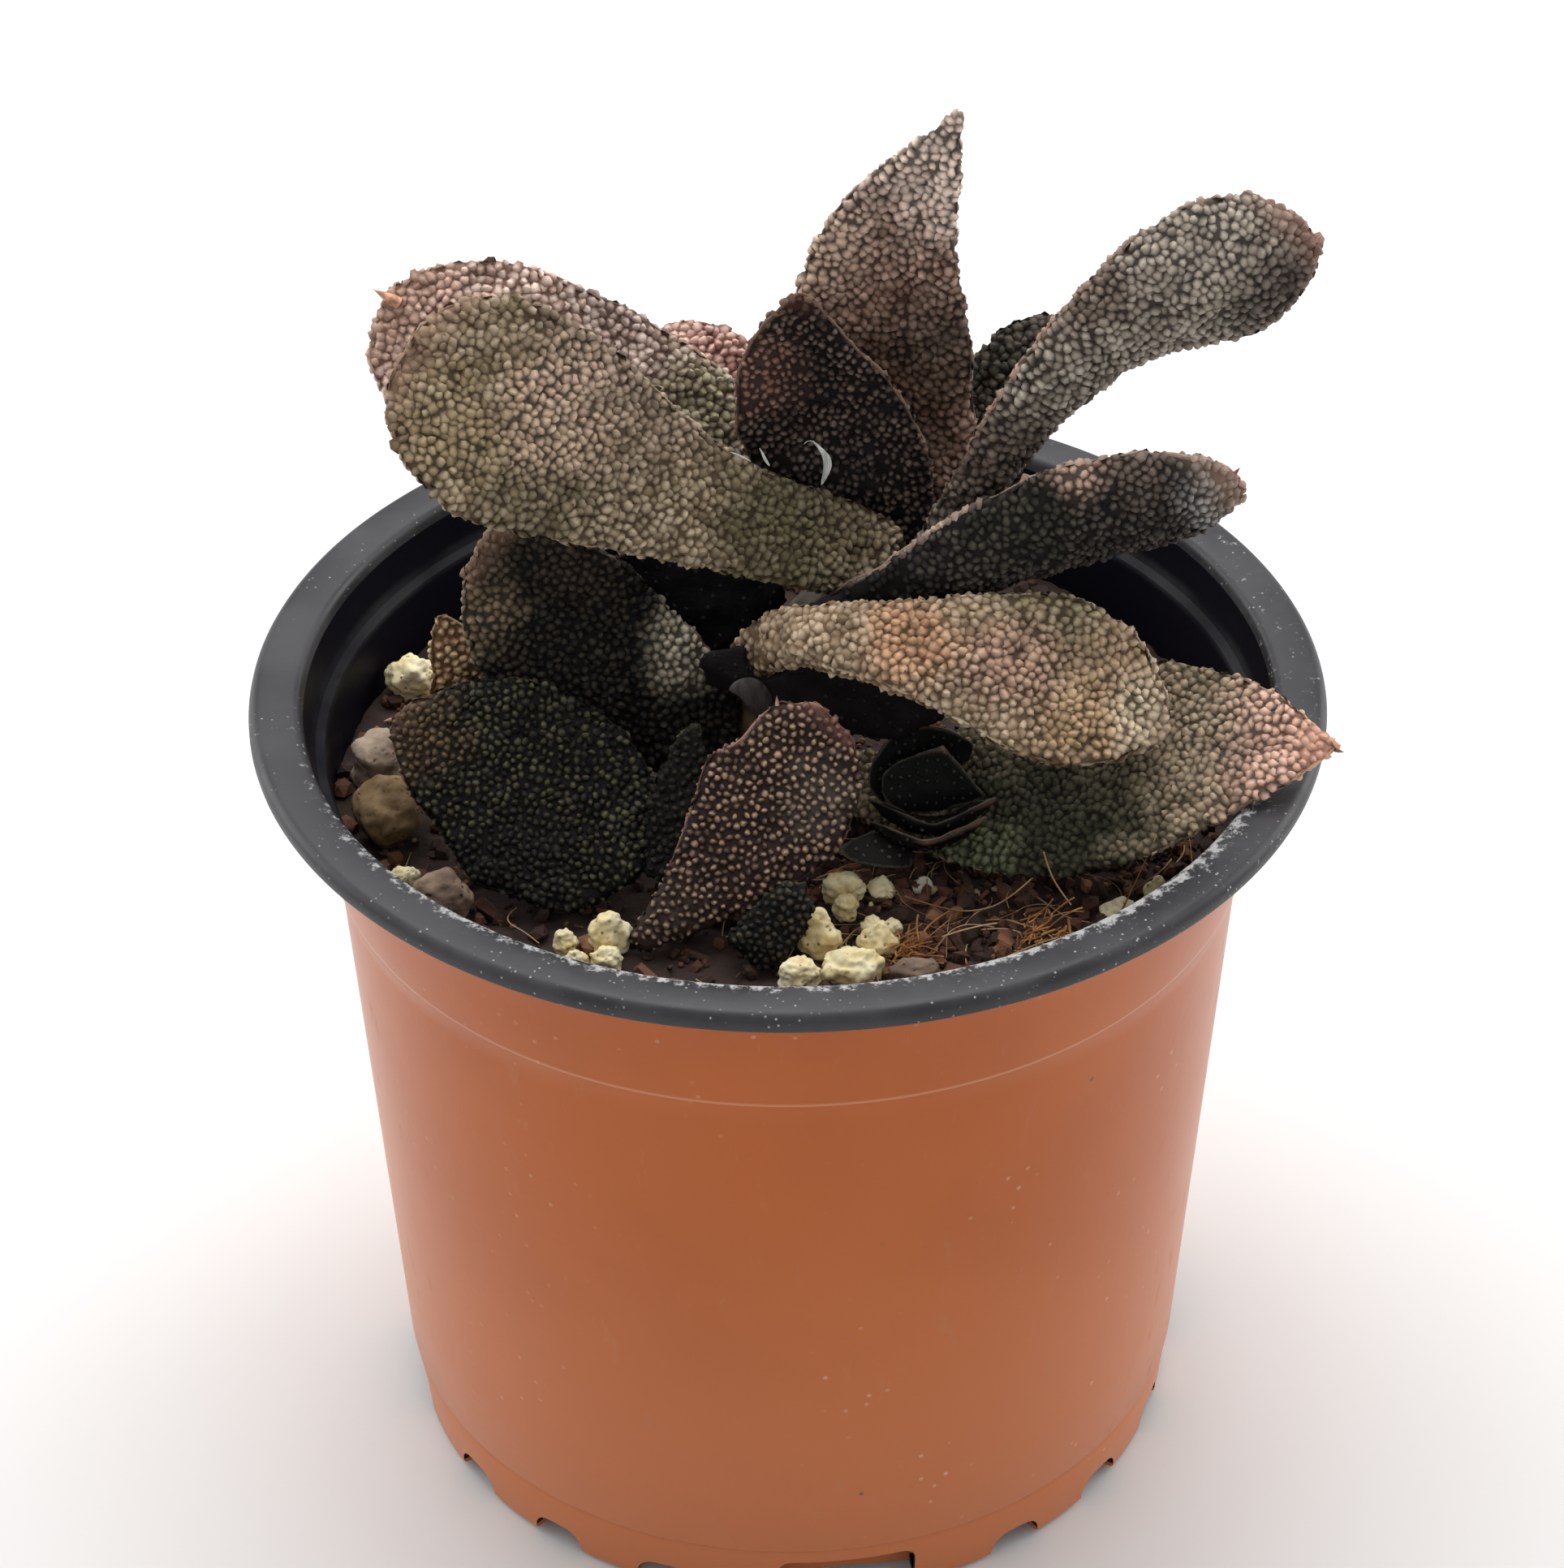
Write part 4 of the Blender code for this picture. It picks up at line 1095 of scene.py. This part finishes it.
warty_leaf("leaf_centre_tall", "leaf_shaded", (84, 63, 52), ((142, 113, 97), (194, 161, 145)),
           margin=(150, 126, 112), tip=(206, 180, 168), tip_reach=0.08, seed=6,
           washes=(((17, 10, 160), 16, (252, 228, 212), 0.95), ((12, 8, 130), 11, (98, 76, 58), 0.7),
                   ((18, 9, 136), 8, (88, 78, 68), 0.7), ((4, 10, 146), 8, (226, 196, 172), 0.8)))
warty_leaf("leaf_right_upper", "leaf_shaded", (78, 68, 61), ((134, 122, 110), (182, 172, 158)),
           margin=(170, 140, 122), tip=(140, 104, 90), rim_width=0.7, tip_reach=0.06, seed=7,
           size=1.3, height=0.95,
           washes=(((32, -4, 149), 6, (122, 102, 88), 0.7), ((52, -3, 149), 8, (88, 73, 69), 0.75),
                   ((46, -4, 150), 8, (134, 123, 108), 0.4), ((20, -4, 127), 13, (102, 86, 75), 0.85),
                   ((42, -3, 155), 9, (206, 192, 176), 0.6)),
           point=((55.4, -2, 154.6), (53.9, -2, 153.2), (186, 134, 116), 0.6))
warty_leaf("leaf_right_middle", "leaf_shaded", (27, 22, 21), ((50, 46, 42), (86, 80, 73)),
           margin=(206, 178, 160), bare=(38, 35, 37), rim_width=0.7, seed=8, size=1.12, height=0.85,
           spacing=0.82, sparse=0.1, bare_base=0.2, dots=0.05,
           washes=(((47, -8, 129), 8, (172, 168, 164), 0.85), ((31, -9, 132.5), 6, (220, 182, 162), 0.8),
                   ((10, -9, 118), 9, (40, 38, 37), 0.95), ((24, -11, 126), 9, (66, 65, 51), 0.5),
                   ((37, -8, 131), 6, (150, 130, 116), 0.6)),
           point=((48.6, -7.5, 130.5), (47.2, -8, 128.8), (206, 104, 64), 0.6))
warty_leaf("leaf_right_front", "leaf_sunned", (128, 104, 78), ((164, 142, 116), (206, 184, 158)),
           margin=(226, 212, 184), bare=(44, 34, 32), rim_width=0.3, seed=9, bare_base=0.04,
           height=0.95,
           washes=(((27, -12, 117), 10, (143, 140, 104), 0.6), ((32, -21, 106), 9, (214, 178, 136), 0.7),
                   ((13, -17, 114), 7, (232, 176, 134), 0.7), ((24, -17, 112), 8, (206, 162, 142), 0.6),
                   ((37, -17, 112), 8, (173, 143, 112), 0.5),
                   ((40, -19, 105), 8, (254, 238, 204), 0.95)))
warty_leaf("leaf_right_low", "leaf_sunned", (88, 78, 60), ((128, 116, 90), (184, 164, 138)),
           margin=(216, 182, 152), tip=(206, 152, 128), root=(3, -3, 88), tip_reach=0.1, seed=10,
           height=0.9,
           washes=(((27, -20, 89), 20, (61, 65, 49), 0.9), ((20, -19, 87), 8, (136, 144, 110), 0.9),
                   ((57, -20, 102), 16, (248, 200, 178), 0.9),
                   ((44, -17, 103), 9, (192, 172, 146), 0.6)),
           point=((59.5, -20.5, 102.1), (57.4, -20.4, 102.8), (120, 84, 70), 0.5))
warty_leaf("leaf_left_middle", "leaf_shaded", (14, 13, 11), ((32, 30, 25), (64, 58, 50)),
           margin=(128, 112, 92), bare=(24, 20, 19), root=(-2, -4, 88), seed=11,
           size=1.16, height=0.9,
           washes=(((-35, -4, 110), 8, (150, 130, 104), 0.85), ((-11, -2, 104), 7, (198, 187, 163), 0.9),
                   ((-22, -4, 116), 8, (84, 70, 60), 0.5)))
warty_leaf("leaf_left_small", "leaf_shaded", (127, 96, 68), ((196, 160, 126), (232, 202, 162)),
           margin=(176, 150, 118), tip=(80, 54, 42), root=(-36, 4, 84), seed=12, size=1.1, height=0.8)


# Old leaf bases: two smooth dark sheaths left on the stem where old leaves died back.  They close the
# crown under the front and left leaves; their near-black tone is partly their own and partly painted
# shade.
# Near-black flesh: partly the dead sheaths' own colour, partly painted shade under the crown, deepest on
# the left.
for name, bare in (("leaf_base_front", (27, 22, 25)), ("leaf_base_left", (13, 11, 15))):
    warty_leaf(name, "leaf_shaded", bare, ((36, 31, 34), (54, 47, 50)), margin=(64, 52, 52),
               bare=bare, tip=(26, 21, 24), root=(0, 0, 96), seed=14, spacing=1.3, size=0.6,
               height=0.3, sparse=0.7, bare_rim=0.3, bare_base=0.1, cord=0)


# Offset: a young plant rooted in the mix at the front left, with four smaller leaves.  Its warts are
# still small pale dots that stand apart on dark flesh, with a thin pink beaded margin.
OFFSET_ROOT = (-14.5, -26.5, 84)
warty_leaf("offset_leaf_left", "offset_leaf", (9, 10, 8), ((40, 39, 30), (92, 88, 66)),
           margin=(150, 116, 98), tip=(96, 76, 62), bare=(14, 14, 12), root=OFFSET_ROOT, seed=21,
           spacing=0.78, size=0.98, height=0.8, dots=0.15, cord=0.16,
           washes=(((-42, -10.6, 98.6), 9, (114, 88, 62), 0.7), ((-30, -24, 88), 13, (34, 31, 28), 0.8)),
           point=((-44.3, -9.5, 99.4), (-42.4, -9.8, 100), (176, 130, 110), 0.5))
warty_leaf("offset_leaf_inner", "offset_leaf", (12, 11, 7), ((24, 22, 14), (42, 39, 25)),
           margin=(84, 78, 56), tip=(50, 48, 34), root=OFFSET_ROOT, seed=22, size=0.95, height=0.7,
           cord=0)
warty_leaf("offset_leaf_right", "offset_leaf", (49, 35, 32), ((107, 86, 71), (179, 150, 123)),
           margin=(172, 134, 120), tip=(126, 88, 78), bare=(58, 42, 40), root=OFFSET_ROOT, seed=23,
           spacing=0.78, size=0.9, height=0.75, bare_rim=0.25, bare_base=-0.05, rim_width=0.35,
           dots=0.2, cord=0.16,
           washes=(((3, -22, 98), 7, (200, 180, 158), 0.6), ((-13, -30, 88), 7, (150, 126, 110), 0.7)),
           point=((-1.5, -19, 109.0), (-1.4, -19.4, 107), (214, 168, 152), 0.5))
warty_leaf("offset_leaf_front", "offset_leaf", (20, 22, 19), ((50, 47, 39), (82, 73, 58)),
           margin=(70, 64, 56), bare=(20, 22, 19), root=OFFSET_ROOT, seed=24, spacing=0.72, size=0.84,
           height=0.6, tip=(44, 44, 36), dots=0.1, cord=0)


# Rosette pup: a tight cup of five small dark leaves that grows from the mix beside the offset.  Each
# has a thin pale margin and warts that hardly show.
PUP_ROOT = (15, -13, 88)
for index, name in enumerate(("back", "centre", "front", "outer", "low")):
    warty_leaf("pup_leaf_" + name, "rosette_leaf", (22, 22, 21), ((52, 54, 46), (92, 92, 80)),
               margin=(92, 86, 76), bare=(24, 23, 23), root=PUP_ROOT, seed=31 + index, spacing=1.0,
               size=0.55, height=0.4, sparse=0.4, bare_rim=0.5, voxel=0.26, dots=0.2, cord=0.12,
               washes=(((15, -11, 93), 6, (46, 60, 44), 0.6), ((9, -20, 89), 5, (110, 104, 100), 0.8)))


bpy.data.objects.remove(wart, do_unlink=True)


# Dried scraps: a curled papery flower stalk caught between the leaves, two torn bracts beside it,
# and a thin dead scale behind the offset.  Each is a dry curled strip a tenth of a millimetre thick.
PAPER = 0.1 * MM


def ribbon(points, across, widths):
    """A thin curled strip that follows a line of points, its width set at each."""
    strip = bmesh.new()
    rows = []
    for point, width in zip(points, widths):
        side = Vector(across).normalized() * width * 0.5 * MM
        centre = Vector(point) * MM
        sag = Vector((0, -0.12 * MM * width, 0))
        rows.append([strip.verts.new(centre - side), strip.verts.new(centre + sag),
                     strip.verts.new(centre + side)])
    for one, two in zip(rows, rows[1:]):
        for k in range(2):
            strip.faces.new((one[k], one[k + 1], two[k + 1], two[k]))
    mesh = bpy.data.meshes.new("ribbon")
    strip.to_mesh(mesh)
    strip.free()
    piece = placed("ribbon", mesh)
    modify(piece, "thicken", 'SOLIDIFY', thickness=PAPER, offset=0)
    modify(piece, "soften", 'SUBSURF', levels=2, render_levels=2)
    apply_all(piece)
    smooth(piece)
    return piece


def papery(name, light, dark):
    """Bleached plant tissue, thin and veined."""
    dry = Finish(name, roughness=0.6)
    veins = dry.noise(1.0, 3.0, 0.6, dry.stretched(900, 900, 160))
    hue = dry.mix(dark, light, dry.step(veins, 0.3, 0.65))
    return dry.use(base_color=hue, normal=dry.bump(veins, 0.1 * MM, 0.6))


curl = ribbon(((1.9, -1.2, 129.4), (2.2, -1.2, 129.8), (2.8, -1.2, 129.9), (3.3, -1.1, 129.2),
               (3.9, -1.0, 128.4), (4.4, -0.9, 127.4), (4.5, -0.9, 126.2), (4.2, -1.0, 125.2),
               (3.8, -1.1, 124.1)),
              (1, 0.5, 0.25), (0.12, 0.15, 0.18, 0.3, 0.55, 0.95, 1.15, 0.95, 0.3))
torn = ribbon(((-2.9, -2.2, 129.6), (-2.6, -2.2, 129.0), (-2.3, -2.3, 128.2), (-1.8, -2.4, 127.4)),
              (1, 0.4, 0.5), (0.08, 0.25, 0.4, 0.2))
sliver = ribbon(((-6.0, -2.4, 129.2), (-5.3, -2.4, 128.9), (-4.5, -2.4, 128.5), (-3.8, -2.4, 128.0)),
                (0.3, 0.2, 1), (0.08, 0.2, 0.25, 0.1))
scrap = joined("papery_scraps", [curl, torn, sliver])
dress(scrap.data, papery("bleached_paper", tint(216, 217, 212), tint(140, 142, 136)))
rides(scrap, "papery_scrap", "dried_scape")
scale = ribbon(((-6.3, -9.6, 103.6), (-5.2, -9.9, 104.0), (-4.0, -10.0, 103.4), (-2.8, -9.8, 101.8),
                (-1.9, -9.4, 99.6), (-1.5, -9.0, 97.8)), (0.6, 0.1, 1), (1.2, 2.6, 3.4, 3.4, 2.6, 1.0))
scale.name = "dead_scale"
dress(scale.data, papery("grey_scale", tint(88, 82, 80), tint(40, 36, 36)))
rides(scale, "papery_scrap", "dry_scale")
